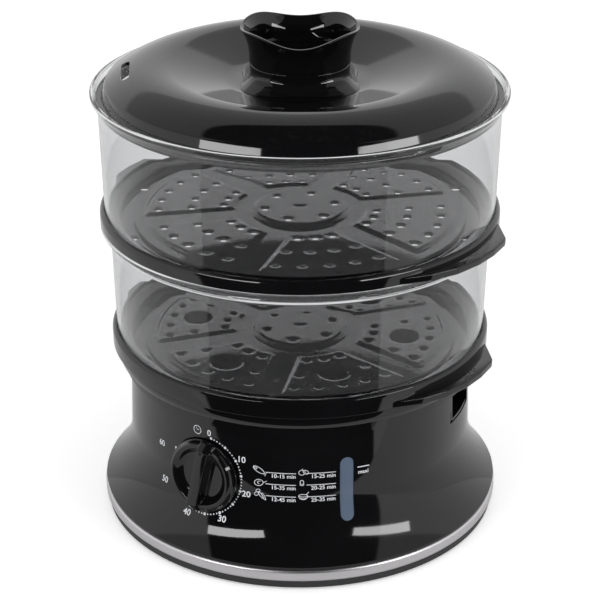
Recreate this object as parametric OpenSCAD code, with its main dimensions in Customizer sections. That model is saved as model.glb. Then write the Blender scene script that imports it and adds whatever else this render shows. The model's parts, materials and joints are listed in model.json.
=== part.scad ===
// Electric food steamer: a timer base with a water tank, a juice collector and two clear
// nesting bowls with lift-out grids, under a dished lid with a cup-shaped handle.
// Millimetres, +Z up, origin on the standing surface at the centre of the footprint.
// Azimuths are degrees from +X; -90 faces the viewer.

/* [Base] */
// Radius of the silver trim ring, the widest part of the base
base_r = 128; // [124:0.5:134]
// Radius of the upright part of the base, above its flare
body_r = 109.4; // [107:0.2:112]
// Height at which the flare of the base meets the upright part
flare_top = 56; // [50:1:60]
// Height of the top of the base, where the juice collector sits
base_h = 104.7; // [100:0.5:112]
// Wall thickness of the base mouldings
base_wall = 2.6; // [2:0.1:3]
// Height of the rubber feet below the bottom plate
foot_h = 1.5; // [1:0.1:2.5]
// Height of the silver trim ring
trim_h = 7.8; // [6:0.2:10]

/* [Water tank] */
// Inner radius of the water tank
tank_r = 93; // [90:0.5:94]
// Height of the tank floor above the standing surface
tank_floor = 33; // [30:0.5:36]
// Radius of the hole in the tank floor for the heater
heater_hole_r = 22; // [20:0.5:24]
// Radius of the ring that crowds the steam round the heater
turbo_r = 35; // [33:0.5:40]

/* [Juice collector] */
// Outer radius of the collector's rim
collector_r = 115.5; // [114:0.25:117]
// Height of the collector's rim
collector_h = 8.2; // [7:0.2:10]
// Radius of the steam chimney in the collector
chimney_r = 28; // [24:0.5:32]

/* [Bowls] */
// Outer radius of the upper bowl's black base ring
upper_ring_r = 124; // [123:0.25:125]
// Outer radius of the lower bowl's black base ring
lower_ring_r = 119.3; // [118:0.1:120]
// Outer radius of the upper bowl's rim
upper_rim_r = 127; // [126.5:0.1:127.5]
// Outer radius of the lower bowl's rim
lower_rim_r = 124; // [123.5:0.1:124.5]
// Height of the upper bowl from the foot of its ring to its rim
upper_bowl_h = 83.3; // [78:0.5:95]
// Height of the lower bowl from the foot of its ring to its rim
lower_bowl_h = 81.9; // [78:0.5:95]
// Height of the upper bowl's base ring
upper_ring_h = 8.5; // [8:0.1:10]
// Height of the lower bowl's base ring
lower_ring_h = 11.7; // [10:0.1:13]
// Wall thickness of the clear bowls
bowl_wall = 2.2; // [1.8:0.1:2.4]
// How far the handle ears reach out of a base ring
ear_reach = 10; // [7:0.5:11]
// Thickness of the handle ears
ear_t = 4.5; // [3.5:0.1:5]

/* [Grids] */
// Sheet thickness of the grids
grid_t = 1.4; // [1.2:0.1:1.6]
// Radius of a steam hole
hole_r = 2.6; // [2:0.1:2.8]
// Radius of an egg opening in the lower grid
egg_r = 9.5; // [8:0.5:10.5]
// Width of the channels between the raised panels
channel_w = 16.6; // [14:0.2:18]
// Azimuth of the upper grid's front panel
upper_grid_az = -78.8; // [-90:0.2:-70]
// Azimuth of the lower grid's front panel
lower_grid_az = -72; // [-90:0.5:-65]

/* [Lid] */
// Radius of the lid's dome at its edge
dome_r = 117; // [115:0.5:117.5]
// Height of the dome's edge above the lid's flange
dome_edge_h = 7.8; // [6:0.2:9]
// Height of the dome's crown above the lid's flange
crown_h = 17.4; // [15:0.2:20]
// Depth of the dish inside the crown
dish_depth = 12.5; // [9:0.1:13]
// Thickness of the lid
lid_t = 2.2; // [1.8:0.1:2.6]
// Length of the steam vent
vent_l = 32; // [24:1:36]
// Width of the steam vent
vent_w = 5; // [4.6:0.1:5.4]

/* [Handle] */
// Half width of the handle's foot
handle_foot = 34.6; // [32:0.2:36]
// Half width of the handle's waist
handle_waist = 30.4; // [29:0.2:31]
// Half width of the handle's rim
handle_rim = 35.7; // [34:0.1:37]
// Height of the handle's lower piece
handle_base_h = 14.2; // [12:0.2:16]
// Height of the handle's cup at the middle of its sides
handle_cup_h = 17; // [14:0.5:20]
// How far the cup's corners rise above the middle of its sides
handle_wave = 5; // [3:0.1:6]

// How much the sides of the handle's foot are dented, as a share of its width
handle_dent = 0.08; // [0:0.01:0.1]

/* [Timer] */
// Radius of the timer knob
knob_r = 23.4; // [21:0.1:23.6]
// Azimuth of the timer knob
knob_az = -122; // [-126:0.5:-118]
// Height of the knob's axis above the standing surface
knob_z = 61.7; // [60:0.1:64]
// How far the knob leans back from the upright
knob_lean = 5.1; // [3:0.1:7]
// Turn of the pointer at rest, clockwise from straight up
knob_zero = 10.4; // [0:0.2:20]
// Width of the knob's grip bar
grip_w = 8.5; // [7:0.1:10]
// Radius of the timer's shaft
shaft_r = 3; // [2.5:0.1:3.4]
// Running clearance of the shaft in the timer's case
shaft_gap = 0.05; // [0.02:0.01:0.1]

/* [Window and filler] */
// Azimuth of the water level window
window_az = -75; // [-78:0.5:-72]
// Width of the window
window_w = 8.4; // [7:0.1:9]
// Height of the window
window_h = 42; // [36:0.5:42]
// Height of the middle of the window
window_z = 59; // [58:0.5:60]
// Azimuth of the water filler
filler_az = -21; // [-24:0.5:-18]
// Width of the water filler's mouth
filler_w = 36; // [30:1:38]
// Height of the water filler's sill
filler_z = 75; // [72:0.5:78]

/* [Fits] */
// Clearance under a piece that lifts off
seat_gap = 0.3; // [0.2:0.05:0.5]
// Clearance of a fixed piece in its slot
slot_gap = 0.1; // [0.05:0.01:0.2]

/* [Hidden] */
$fn = 96;
eps = 0.01;
black = [0.05, 0.05, 0.055];
clear = [0.85, 0.87, 0.9, 0.4];
steel = [0.72, 0.73, 0.75];

// Base levels
plate_t = 2.2;
plate_rim_w = 4;
plate_r = base_r - 1.6;
plate_top = foot_h + 4.7;
trim_top = plate_top + trim_h;
bevel_h = 2.2;
skirt_r = base_r - 0.6;
skirt_z = trim_top + bevel_h;
deck_t = 3.2;
deck_r = body_r + 2.6;
deck_z = base_h - deck_t;
deck_skirt = 3.7;
body_top_r = body_r - 1.2;
housing_top = deck_z - 0.3;

// Screws that hold the bottom plate
boss_az = [10, 70, 110, 170, -92, -60];
boss_r = 4.3;
boss_at = body_r - base_wall - boss_r + 0.3;
boss_top = flare_top + 22;
pad_h = 1.8;
screw_r = 1.5;
screw_head_r = 3;
screw_l = 15;

// Feet
foot_at = base_r * 0.78;
foot_r = 8;
foot_stem_r = 3;

// Water tank
tank_out = tank_r + base_wall;
bay_reach = 80;
bay_half = 31;
bay_top = 84;
sight_reach = body_r - base_wall - 3.6;
sight_half = window_w / 2 + 3.4;
gasket_t = 1.2;

// Heater, from the tank floor up and down
floor_top = tank_floor + base_wall;
heater_flange_r = heater_hole_r + 6;
heater_plate_t = 2.5;
heater_gasket_t = 1.5;
heater_z = floor_top + heater_gasket_t;
stud_at = heater_hole_r + 3;
stud_az = [90, 210, 330];
stud_r = 1.5;
element_r = heater_hole_r - 6;
element_tube = 3.3;
pin_r = 1.6;
thermostat_r = 8;
fuse_r = 2.2;
fuse_l = 13;

// Collector
collector_z = base_h + seat_gap;
collector_top = collector_z + collector_h;
collector_in = collector_r - 2.5;
dish_out = tank_r - 4.5;
dish_z = collector_z - 17;
dish_t = 2.3;
collector_deck = collector_z + 2.5;

// Bowl levels
lower_z = collector_top + seat_gap;
lower_rim_z = lower_z + lower_bowl_h;
upper_z = lower_rim_z + seat_gap;
upper_rim_z = upper_z + upper_bowl_h;
rim_wall = 2.8;
seat_d = 5.7;
wall_draft = 1.5;
groove_in = 2.9;
groove_z = 2.8;
ledge_out = 12.5;
ledge_in = 24;
ledge_t = 2.2;
drain_at = 15.5;
drain_r = 4;
drain_az = [-22, -158, 22, 158];
spigot_t = 2.2;
grid_step = 21;
ear_az = -38;

// Grid pattern
pad_in = 41;
pad_out = 28;
disc_r = 30;
row_r = [47.7, 67.5];
outer_row = 36;
row_n = [3, 4, 5];
row_pitch = [13, 12.2, 10.2];

// Lid levels
flange_t = 2;
lid_z = upper_rim_z - seat_d + seat_gap;
flange_z = lid_z + flange_t;
flange_r = upper_rim_r - rim_wall - 0.8;
edge_out = 3.7;
edge_z = flange_z + dome_edge_h;
crown_z = flange_z + crown_h;
crown_r = dome_r - 27;
pad_r = 40;
pad_z = crown_z - dish_depth;
lip_r = upper_ring_r - groove_in - bowl_wall + wall_draft - 0.6;
vent_az = 183.6;
vent_at = dome_r - 12;
handle_screw_x = 13;
handle_top_z = pad_z + handle_base_h;

// Knob plane, measured outwards from the dial's own plane
knob_at = body_r + 1.4;
pocket_r = knob_r + 0.6;
pocket_d = 4.6;
dial_wall = 2.5;
case_w = 44;
case_h = 40;
case_d = 19;
case_top = -pocket_d - dial_wall;
timer_screw_at = 14;

// Radius of the base's outside at a height on its flare
function flare_r(z) =
    body_r + (skirt_r - body_r) * pow((flare_top - z) / (flare_top - skirt_z), 2);

// Outside of the base, from the trim ring up, moved in by a wall
function housing_side(inset) = concat(
    [[skirt_r - 0.6 - inset, trim_top]],
    [for (i = [0:32]) let (z = skirt_z + (flare_top - skirt_z) * i / 32)
        [flare_r(z) - inset, z]],
    [[body_top_r - inset, housing_top]]
);

// Points of a rounded square: half width s, squareness p, sides dented by a share d, at a height
function lobe(s, p, d, a) =
    s * (1 + d * (1 - cos(4 * a)) / 2) / pow(pow(abs(cos(a)), p) + pow(abs(sin(a)), p), 1 / p);
// The cup's rim rises at its corners, and less at the two ends than at the front and back
function rim_wave(a) = handle_wave * (0.65 * (1 - cos(4 * a)) / 2 + 0.7 * (1 + cos(2 * a)) / 2);
function lobe_ring(s, p, d, z0, z1, t, n = 64) = [
    for (i = [0:n - 1]) let (a = 360 * i / n, r = lobe(s, p, d, a))
        [r * cos(a), r * sin(a), z0 + (z1 + rim_wave(a) - z0) * t]
];
function flat_ring(s, p, d, z, n = 64) = [
    for (i = [0:n - 1]) let (a = 360 * i / n, r = lobe(s, p, d, a)) [r * cos(a), r * sin(a), z]
];

// A closed solid through rings of equally many points
module loft(rings) {
    n = len(rings[0]);
    m = len(rings);
    sides = [
        for (k = [0:m - 2], i = [0:n - 1]) let (j = (i + 1) % n, a = k * n, b = a + n)
            each [[a + i, b + i, a + j], [a + j, b + i, b + j]]
    ];
    floor_face = [[for (i = [0:n - 1]) i]];
    top_face = [[for (i = [n - 1:-1:0]) (m - 1) * n + i]];
    polyhedron(points = [for (r = rings) each r], faces = concat(floor_face, sides, top_face),
               convexity = 6);
}

// Stand children up against the base: their +Z points outwards at an azimuth
module outwards(az, reach, z, lean = 0) {
    rotate([0, 0, az])
        translate([reach, 0, z])
            rotate([0, 90 - lean, 0])
                children();
}

// An upright slot with round ends, in the plane that outwards() gives
module slot2d(w, h) {
    square([h - w, w], center = true);
    translate([(h - w) / 2, 0]) circle(d = w);
    translate([-(h - w) / 2, 0]) circle(d = w);
}

module ring_solid(r_out, r_in, z0, z1) {
    translate([0, 0, z0])
        difference() {
            cylinder(r = r_out, h = z1 - z0);
            translate([0, 0, -1]) cylinder(r = r_in, h = z1 - z0 + 2);
        }
}

module base_solid(inset = 0) {
    rotate_extrude()
        polygon(concat([[0, trim_top]], housing_side(inset), [[0, housing_top]]));
}

// ---- lid ----

function lid_top(r) =
    r > crown_r ? edge_z + (crown_z - edge_z) * (1 - pow((r - crown_r) / (dome_r - crown_r), 2)) :
    r > pad_r ? pad_z + (crown_z - pad_z) * (1 - cos(180 * (r - pad_r) / (crown_r - pad_r))) / 2 :
    pad_z;

// The rounded edge between the dome and the flange, from top to foot
function lid_edge(t) = [dome_r + edge_out * (1.2 * t - 0.2 * t * t), edge_z - dome_edge_h * t];

module lid_dome() {
    n = 30;
    outer = [for (i = [0:n]) let (r = dome_r - (dome_r - crown_r) * i / n) [r, lid_top(r)]];
    dish = [for (i = [1:n]) let (r = crown_r - (crown_r - pad_r) * i / n) [r, lid_top(r)]];
    top = concat(outer, dish);
    under = [for (i = [n:-3:0]) [dish[max(i - 1, 0)][0], dish[max(i - 1, 0)][1] - lid_t]];
    under_out = [for (i = [n - 3:-3:3]) [outer[i][0] - lid_t * (1 - i / n), outer[i][1] - lid_t]];
    edge = [for (i = [1:6]) lid_edge(i / 6)];
    color(black)
        difference() {
            rotate_extrude($fn = 128)
                polygon(concat(
                    [[0, pad_z - lid_t]], [[0, pad_z]], [for (i = [len(top) - 1:-1:0]) top[i]],
                    edge,
                    [[flange_r, flange_z], [flange_r, lid_z], [lip_r, lid_z]],
                    [[lip_r, lid_z - 5], [lip_r - lid_t, lid_z - 5], [lip_r - lid_t, flange_z]],
                    [[dome_r - lid_t - 0.6, edge_z - 1]],
                    [for (i = [len(under_out) - 1:-1:0]) under_out[i]],
                    [for (i = [len(under) - 1:-1:0]) under[i]]
                ));
            rotate([0, 0, vent_az])
                translate([vent_at - vent_w / 2, -vent_l / 2, lid_z])
                    cube([vent_w, vent_l, crown_h + 10]);
            for (s = [-1, 1])
                translate([s * handle_screw_x, 0, pad_z - lid_t - 1])
                    cylinder(r = screw_r + 0.2, h = lid_t + 2, $fn = 32);
        }
}

module lid_handle_base() {
    hollow_r = handle_waist - 4;
    hollow_top = pad_z + handle_base_h - 3;
    hollow = [for (z = [hollow_top, pad_z]) flat_ring(hollow_r, 2, 0, z)];
    rings = [
        for (q = [[0, 0, 1, 3.6], [0.055, 0.02, 1, 3.6], [0.12, 0.3, 0.95, 3.5], [0.22, 0.62, 0.8, 3.4],
                  [0.36, 0.86, 0.5, 3.2], [0.55, 0.97, 0.2, 3], [0.8, 1, 0.05, 2.9], [1, 1, 0, 2.9]])
            flat_ring(handle_foot + (handle_waist - handle_foot) * q[1], q[3], handle_dent * q[2],
                      pad_z + handle_base_h * q[0])
    ];
    color(black) {
        loft(concat(hollow, rings));
        for (s = [-1, 1])
            translate([s * handle_screw_x, 0, 0])
                difference() {
                    translate([0, 0, pad_z]) cylinder(r = 4, h = hollow_top + 0.1 - pad_z);
                    translate([0, 0, pad_z - 1]) cylinder(r = screw_r + 0.02, h = 11, $fn = 32);
                }
    }
}

module lid_handle_cup() {
    z0 = handle_top_z;
    rim_z = z0 + handle_cup_h;
    cup_t = 2;
    flare = handle_rim - handle_waist;
    spread = [[0, 0, 2.9], [0.25, 0.05, 2.8], [0.5, 0.2, 2.6], [0.7, 0.42, 2.4], [0.85, 0.7, 2.2],
              [0.94, 0.9, 2.1], [0.985, 1, 2.05]];
    outer = [for (q = spread) lobe_ring(handle_waist + flare * q[1], q[2], 0, z0, rim_z, q[0])];
    inner = [for (i = [len(spread) - 1:-1:2]) let (q = spread[i])
        lobe_ring(handle_waist - cup_t + flare * q[1], q[2], 0, z0, rim_z, q[0])];
    floor_z = z0 + 3;
    color(black)
        loft(concat(
            outer,
            [lobe_ring(handle_rim - 0.5, 2.05, 0, z0, rim_z, 1)],
            [lobe_ring(handle_rim - cup_t + 0.4, 2.05, 0, z0, rim_z, 1)],
            inner,
            [flat_ring(handle_waist - cup_t - 0.6, 2.7, 0, floor_z + 1),
             flat_ring(handle_waist - cup_t - 2, 2.7, 0, floor_z)]
        ));
}

module lid_handle_screws() {
    color(steel)
        for (s = [-1, 1])
            translate([s * handle_screw_x, 0, 0]) {
                translate([0, 0, pad_z - lid_t]) cylinder(r = screw_r, h = lid_t + 8, $fn = 32);
                translate([0, 0, pad_z - lid_t - 1.6]) cylinder(r = screw_head_r, h = 1.6, $fn = 32);
            }
}

// ---- bowls ----

function wall_out(ring_r) = ring_r - groove_in;

module bowl_wall(ring_r, rim_r, z0, ring_h, rim_z) {
    ro = wall_out(ring_r);
    ri = ro - bowl_wall;
    color(clear)
        rotate_extrude($fn = 128)
            polygon([
                [ri, z0 + groove_z + 0.05], [ro, z0 + groove_z + 0.05],
                [ro, z0 + ring_h], [ro + wall_draft, rim_z - 8.2], [rim_r - 0.5, rim_z - 3],
                [rim_r, rim_z - 2.3], [rim_r, rim_z - 0.7], [rim_r - 0.7, rim_z],
                [rim_r - rim_wall + 0.4, rim_z], [rim_r - rim_wall, rim_z - 0.4],
                [rim_r - rim_wall, rim_z - seat_d], [ri + wall_draft, rim_z - seat_d],
                [ri, z0 + ring_h]
            ]);
}

module ear2d(r) {
    function at(az, reach) = [(r + reach) * cos(az), (r + reach) * sin(az)];
    polygon([
        at(ear_az + 26, -3), at(ear_az + 25, 0), at(ear_az + 15.5, ear_reach - 0.6),
        at(ear_az + 14, ear_reach), at(ear_az, ear_reach - 0.6), at(ear_az - 8, ear_reach - 1.8),
        at(ear_az - 16, ear_reach - 4.8), at(ear_az - 25, 0), at(ear_az - 27, -3),
        at(ear_az - 12, -6), at(ear_az + 12, -6)
    ]);
}

module bowl_ring(ring_r, z0, h, spigot_r) {
    ro = wall_out(ring_r) + 0.05;
    ri = ro - bowl_wall - 0.1;
    top = z0 + h;
    ledge = z0 - 0.2;
    spigot_z = z0 - seat_d + 0.4;
    color(black)
        difference() {
            union() {
                rotate_extrude($fn = 128)
                    polygon([
                        [ring_r, z0], [ring_r, top - 2.6], [ring_r - 0.5, top - 1.1],
                        [ring_r - 1.6, top - 0.1], [ring_r - 2.4, top], [ro, top - 0.5],
                        [ro, z0 + groove_z], [ri, z0 + groove_z], [ri, top - 1.7],
                        [ring_r - ledge_out + 0.8, top - 3.9], [ring_r - ledge_out, top - 4.5],
                        [ring_r - ledge_out, ledge], [ring_r - ledge_in, ledge],
                        [ring_r - ledge_in, ledge - ledge_t], [spigot_r - spigot_t, ledge - ledge_t],
                        [spigot_r - spigot_t, spigot_z], [spigot_r, spigot_z], [spigot_r, z0]
                    ]);
                for (turn = [0, 180])
                    rotate([0, 0, turn])
                        translate([0, 0, z0])
                            difference() {
                                linear_extrude(ear_t) ear2d(ring_r);
                                translate([0, 0, -1]) cylinder(r = ring_r - 2, h = ear_t + 2);
                            }
            }
            for (az = drain_az)
                rotate([0, 0, az])
                    translate([ring_r - drain_at, 0, ledge - ledge_t - 1])
                        cylinder(r = drain_r, h = ledge_t + 2, $fn = 32);
        }
}

// A raised panel between two channels, centred on +X
module panel2d(rg, inset) {
    w = channel_w / 2 + inset;
    reach = rg * 2;
    intersection() {
        difference() {
            circle(r = rg - 7 - inset);
            circle(r = pad_in + inset);
        }
        polygon([[2 * w, 0], [2 * w + reach * cos(30), -reach * sin(30)],
                 [2 * w + reach * cos(30), reach * sin(30)]]);
    }
}

// Sheet grid with six raised panels round a raised disc, with rows of holes
module grid(rg, z0, az, eggs) {
    raise = grid_t;
    lip = 2;
    row3 = rg - 15;
    rows = concat(row_r, [row3]);
    egg_at = row_r[1];
    color(black)
        rotate([0, 0, az])
            difference() {
                union() {
                    translate([0, 0, z0]) cylinder(r = rg, h = grid_t, $fn = 128);
                    for (k = [0:5])
                        rotate([0, 0, 60 * k])
                            translate([0, 0, z0 + grid_t - eps])
                                linear_extrude(raise + eps) panel2d(rg, 0);
                    translate([0, 0, z0]) cylinder(r = disc_r, h = grid_t + 2 * raise);
                }
                for (k = [0:5])
                    rotate([0, 0, 60 * k])
                        translate([0, 0, z0 - 1])
                            linear_extrude(raise + 1) panel2d(rg, 1.6);
                translate([0, 0, z0 - 1]) cylinder(r = disc_r - 1.6, h = 2 * raise + 1);
                for (k = [0:5], row = [0:2], i = [0:row_n[row] - 1])
                    if (!(eggs && row == 1 && (i == 1 || i == 2)))
                        rotate([0, 0, 60 * k + row_pitch[row] * (i - (row_n[row] - 1) / 2)])
                            translate([rows[row], 0, z0 - 1])
                                cylinder(r = hole_r, h = 8, $fn = 24);
                for (k = [0:5])
                    rotate([0, 0, 60 * k + 30])
                        translate([disc_r - 8, 0, z0 - 1]) cylinder(r = hole_r, h = 8, $fn = 24);
                if (eggs)
                    for (k = [0:5])
                        rotate([0, 0, 60 * k])
                            translate([egg_at, 0, z0 - 1]) cylinder(r = egg_r, h = 8, $fn = 48);
                rotate([0, 0, -az])
                    translate([-3.5, -1.2, z0 - 1]) cube([7, 2.4, 9]);
            }
}

module upper_bowl_wall() { bowl_wall(upper_ring_r, upper_rim_r, upper_z, upper_ring_h, upper_rim_z); }
module lower_bowl_wall() { bowl_wall(lower_ring_r, lower_rim_r, lower_z, lower_ring_h, lower_rim_z); }
module upper_bowl_base() {
    bowl_ring(upper_ring_r, upper_z, upper_ring_h, lower_rim_r - rim_wall - 0.5);
}
module lower_bowl_base() {
    bowl_ring(lower_ring_r, lower_z, lower_ring_h, collector_in - 0.5);
}
module upper_grid() { grid(upper_ring_r - grid_step, upper_z - 0.2 + seat_gap, upper_grid_az, false); }
module lower_grid() { grid(lower_ring_r - grid_step, lower_z - 0.2 + seat_gap, lower_grid_az, true); }

// ---- collector and turbo ring ----

module juice_collector() {
    color(black)
        rotate_extrude($fn = 128)
            polygon([
                [collector_r - 0.4, collector_z], [collector_r, collector_z + 0.4],
                [collector_r, collector_top - 0.8], [collector_r - 0.8, collector_top],
                [collector_in, collector_top], [collector_in, collector_deck],
                [dish_out, collector_deck], [dish_out, collector_z]
            ]);
}

module collector_wall() {
    color(black) ring_solid(dish_out, dish_out - dish_t, dish_z, collector_deck);
}

module collector_floor() {
    color(black) ring_solid(dish_out - dish_t, chimney_r, dish_z, dish_z + dish_t);
}

module collector_chimney() {
    color(black)
        ring_solid(chimney_r + dish_t, chimney_r, dish_z + dish_t, collector_z + 1);
}

module turbo_ring() {
    z0 = floor_top + seat_gap;
    h = 28;
    color(black)
        difference() {
            union() {
                ring_solid(turbo_r, turbo_r - 2, z0, z0 + h);
                ring_solid(turbo_r + 2, turbo_r - 2, z0 + h - 2, z0 + h);
            }
            for (a = [0, 90])
                rotate([0, 0, a + 45])
                    translate([-turbo_r - 5, -5, z0 - 1]) cube([2 * turbo_r + 10, 10, 8]);
        }
}

// ---- base ----

module base_housing() {
    inner = housing_side(base_wall);
    color(black)
        difference() {
            union() {
                rotate_extrude($fn = 128)
                    polygon(concat(housing_side(0), [for (i = [len(inner) - 1:-1:0]) inner[i]]));
                intersection() {
                    outwards(knob_az, knob_at, knob_z, knob_lean)
                        translate([0, 0, case_top])
                            cylinder(r = pocket_r + dial_wall, h = 20);
                    base_solid();
                }
                for (az = boss_az)
                    rotate([0, 0, az])
                        translate([boss_at, 0, foot_h + plate_t + pad_h])
                            cylinder(r = boss_r, h = boss_top - foot_h - plate_t - pad_h, $fn = 40);
            }
            outwards(knob_az, knob_at, knob_z, knob_lean) {
                translate([0, 0, -pocket_d]) cylinder(r = pocket_r, h = 30);
                translate([0, 0, case_top - 2]) cylinder(r = shaft_r + 1.2, h = 10, $fn = 40);
                for (s = [-1, 1])
                    translate([0, s * timer_screw_at, case_top - 2])
                        cylinder(r = screw_r + 0.2, h = 10, $fn = 32);
            }
            outwards(window_az, sight_reach, window_z)
                linear_extrude(30) slot2d(window_w + 2 * slot_gap, window_h + 2 * slot_gap);
            rotate([0, 0, filler_az])
                translate([tank_out + 1, -filler_w / 2, filler_z])
                    cube([30, filler_w, housing_top - filler_z - 3]);
            translate([-gland_r - slot_gap, base_r - 40, gland_z - gland_r - slot_gap])
                cube([2 * (gland_r + slot_gap), 50, 2 * (gland_r + slot_gap)]);
            for (az = boss_az)
                rotate([0, 0, az])
                    translate([boss_at, 0, 0]) cylinder(r = screw_r + 0.02, h = screw_l + 8, $fn = 32);
        }
}

module trim_ring() {
    in = plate_r - plate_rim_w;
    color("silver")
        rotate_extrude($fn = 128)
            polygon([
                [in, plate_top], [base_r - 0.2, plate_top], [base_r, plate_top + 1.2],
                [base_r, trim_top - 0.8], [base_r - 0.5, trim_top], [in, trim_top]
            ]);
}

module bottom_plate() {
    color(black)
        difference() {
            union() {
                translate([0, 0, foot_h]) cylinder(r = plate_r, h = plate_t);
                ring_solid(plate_r, plate_r - plate_rim_w, foot_h, plate_top);
                for (az = boss_az)
                    rotate([0, 0, az])
                        translate([boss_at, 0, foot_h]) cylinder(r = 6, h = plate_t + pad_h, $fn = 40);
            }
            for (az = boss_az)
                rotate([0, 0, az])
                    translate([boss_at, 0, foot_h]) {
                        translate([0, 0, -1]) cylinder(r = screw_r + 0.2, h = 9, $fn = 32);
                        translate([0, 0, -1]) cylinder(r = screw_head_r + 0.2, h = 2.9, $fn = 32);
                    }
            for (k = [0:3])
                rotate([0, 0, 45 + 90 * k])
                    translate([foot_at, 0, 0]) cylinder(r = foot_stem_r + 0.05, h = 9, $fn = 32);
            for (s = [-1, 1], k = [-2:2])
                translate([k * 9 - 1.5, s * 45 - 12, 0]) cube([3, 24, 9]);
            for (s = [-1, 1])
                translate([s * block_screw_x, block_y, 0]) cylinder(r = screw_r + 0.02, h = 9, $fn = 32);
        }
}

module rubber_feet() {
    color([0.12, 0.12, 0.12])
        for (k = [0:3])
            rotate([0, 0, 45 + 90 * k])
                translate([foot_at, 0, 0]) {
                    cylinder(r = foot_r, h = foot_h);
                    cylinder(r = foot_stem_r, h = foot_h + plate_t + 1.2, $fn = 32);
                    translate([0, 0, foot_h + plate_t])
                        cylinder(r = foot_stem_r + 1, h = 1.2, $fn = 32);
                }
}

module base_screws() {
    z0 = foot_h + 0.3;
    color(steel)
        for (az = boss_az)
            rotate([0, 0, az])
                translate([boss_at, 0, z0]) {
                    cylinder(r = screw_head_r, h = 1.6, $fn = 32);
                    cylinder(r = screw_r, h = screw_l, $fn = 32);
                }
}

// ---- water tank, filler and window ----

// The tank's volume: a round tub that stops short of the timer's bay
module tub(r, z0, z1, bay_at, half, bay_z) {
    difference() {
        translate([0, 0, z0]) cylinder(r = r, h = z1 - z0);
        rotate([0, 0, knob_az])
            translate([bay_at, -half, z0 - 1]) cube([60, 2 * half, bay_z - z0 + 1]);
    }
}

module water_tank() {
    color(black)
        difference() {
            union() {
                tub(tank_out, tank_floor, base_h, bay_reach, bay_half, bay_top);
                outwards(window_az, tank_r, window_z)
                    translate([-window_h / 2 - 3, -sight_half, 0])
                        cube([window_h + 6, 2 * sight_half, sight_reach - tank_r - gasket_t]);
            }
            tub(tank_r, floor_top, base_h + 1, bay_reach - base_wall, bay_half + base_wall,
                bay_top + base_wall);
            outwards(window_az, tank_r - 4, window_z)
                linear_extrude(30) slot2d(window_w - 2, window_h - 2);
            rotate([0, 0, filler_az])
                translate([tank_r - 6, -filler_w / 2 + 4, filler_z + 2])
                    cube([20, filler_w - 8, 16]);
            translate([0, 0, tank_floor - 1]) cylinder(r = heater_hole_r, h = 9);
            for (az = stud_az)
                rotate([0, 0, az])
                    translate([stud_at, 0, tank_floor - 1])
                        cylinder(r = stud_r + 0.05, h = 9, $fn = 32);
        }
}

// Flange of the tank over the housing's top edge, with a skirt down its outside
module tank_deck() {
    color(black) {
        ring_solid(deck_r, tank_out, deck_z, base_h);
        ring_solid(deck_r, body_top_r + 0.3, deck_z - deck_skirt, base_h - 1);
    }
}

// Chute from the mouth in the base's side to the tank
module water_filler() {
    reach = body_r - base_wall - tank_out;
    t = 2;
    color(black)
        rotate([0, 0, filler_az])
            intersection() {
                difference() {
                    translate([tank_out + slot_gap, -filler_w / 2 + slot_gap, filler_z + slot_gap])
                        cube([reach + 3, filler_w - 2 * slot_gap, 20]);
                    translate([tank_out - 10, -filler_w / 2 + t + 2, filler_z + t])
                        cube([reach + 20, filler_w - 2 * t - 4, 30]);
                }
                rotate([0, 0, -filler_az]) base_solid(0.6);
            }
}

module level_window() {
    color([0.45, 0.55, 0.65, 0.6])
        intersection() {
            outwards(window_az, sight_reach, window_z)
                linear_extrude(30) slot2d(window_w, window_h);
            base_solid(0.4);
        }
}

module window_gasket() {
    color([0.3, 0.3, 0.3])
        outwards(window_az, sight_reach - gasket_t, window_z)
            linear_extrude(gasket_t)
                difference() {
                    slot2d(window_w + 2, window_h + 2);
                    slot2d(window_w - 2, window_h - 2);
                }
}

// ---- timer ----

module timer_frame() {
    outwards(knob_az, knob_at, knob_z, knob_lean) rotate([0, 0, 180 - knob_zero]) children();
}

module timer_knob() {
    face = 5;
    grip_top = 8.4;
    scoop_r = knob_r - 5;
    color(black)
        timer_frame()
            difference() {
                union() {
                    difference() {
                        union() {
                            translate([0, 0, -pocket_d + 0.4]) cylinder(r = knob_r, h = pocket_d + 0.8);
                            translate([0, 0, 1.2])
                                cylinder(r1 = knob_r, r2 = knob_r - 3, h = face - 1.2);
                        }
                        translate([0, 0, 1]) cylinder(r = scoop_r, h = 10);
                    }
                    intersection() {
                        translate([-knob_r, -grip_w / 2, 0]) cube([2 * knob_r, grip_w, grip_top]);
                        cylinder(r1 = knob_r + 6, r2 = knob_r - 4.6, h = grip_top);
                    }
                }
                difference() {
                    translate([0, 0, -pocket_d - 1]) cylinder(r = knob_r - 2, h = pocket_d + 0.4);
                    translate([0, 0, -pocket_d - 2]) cylinder(r = 6, h = 10);
                }
                translate([0, 0, -pocket_d - 2]) cylinder(r = shaft_r + 0.02, h = pocket_d + 7, $fn = 40);
            }
}

module timer_shaft() {
    color(steel)
        timer_frame()
            translate([0, 0, case_top - case_d + 2])
                cylinder(r = shaft_r, h = case_d - 2 - case_top + 4.5, $fn = 40);
}

module timer_case() {
    color([0.85, 0.85, 0.82])
        outwards(knob_az, knob_at, knob_z, knob_lean)
            difference() {
                translate([-case_h / 2, -case_w / 2, case_top - case_d])
                    cube([case_h, case_w, case_d]);
                translate([0, 0, case_top - case_d + 1])
                    cylinder(r = shaft_r + shaft_gap, h = case_d + 2, $fn = 40);
                for (s = [-1, 1])
                    translate([0, s * timer_screw_at, case_top - 8])
                        cylinder(r = screw_r + 0.02, h = 9, $fn = 32);
            }
}

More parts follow.
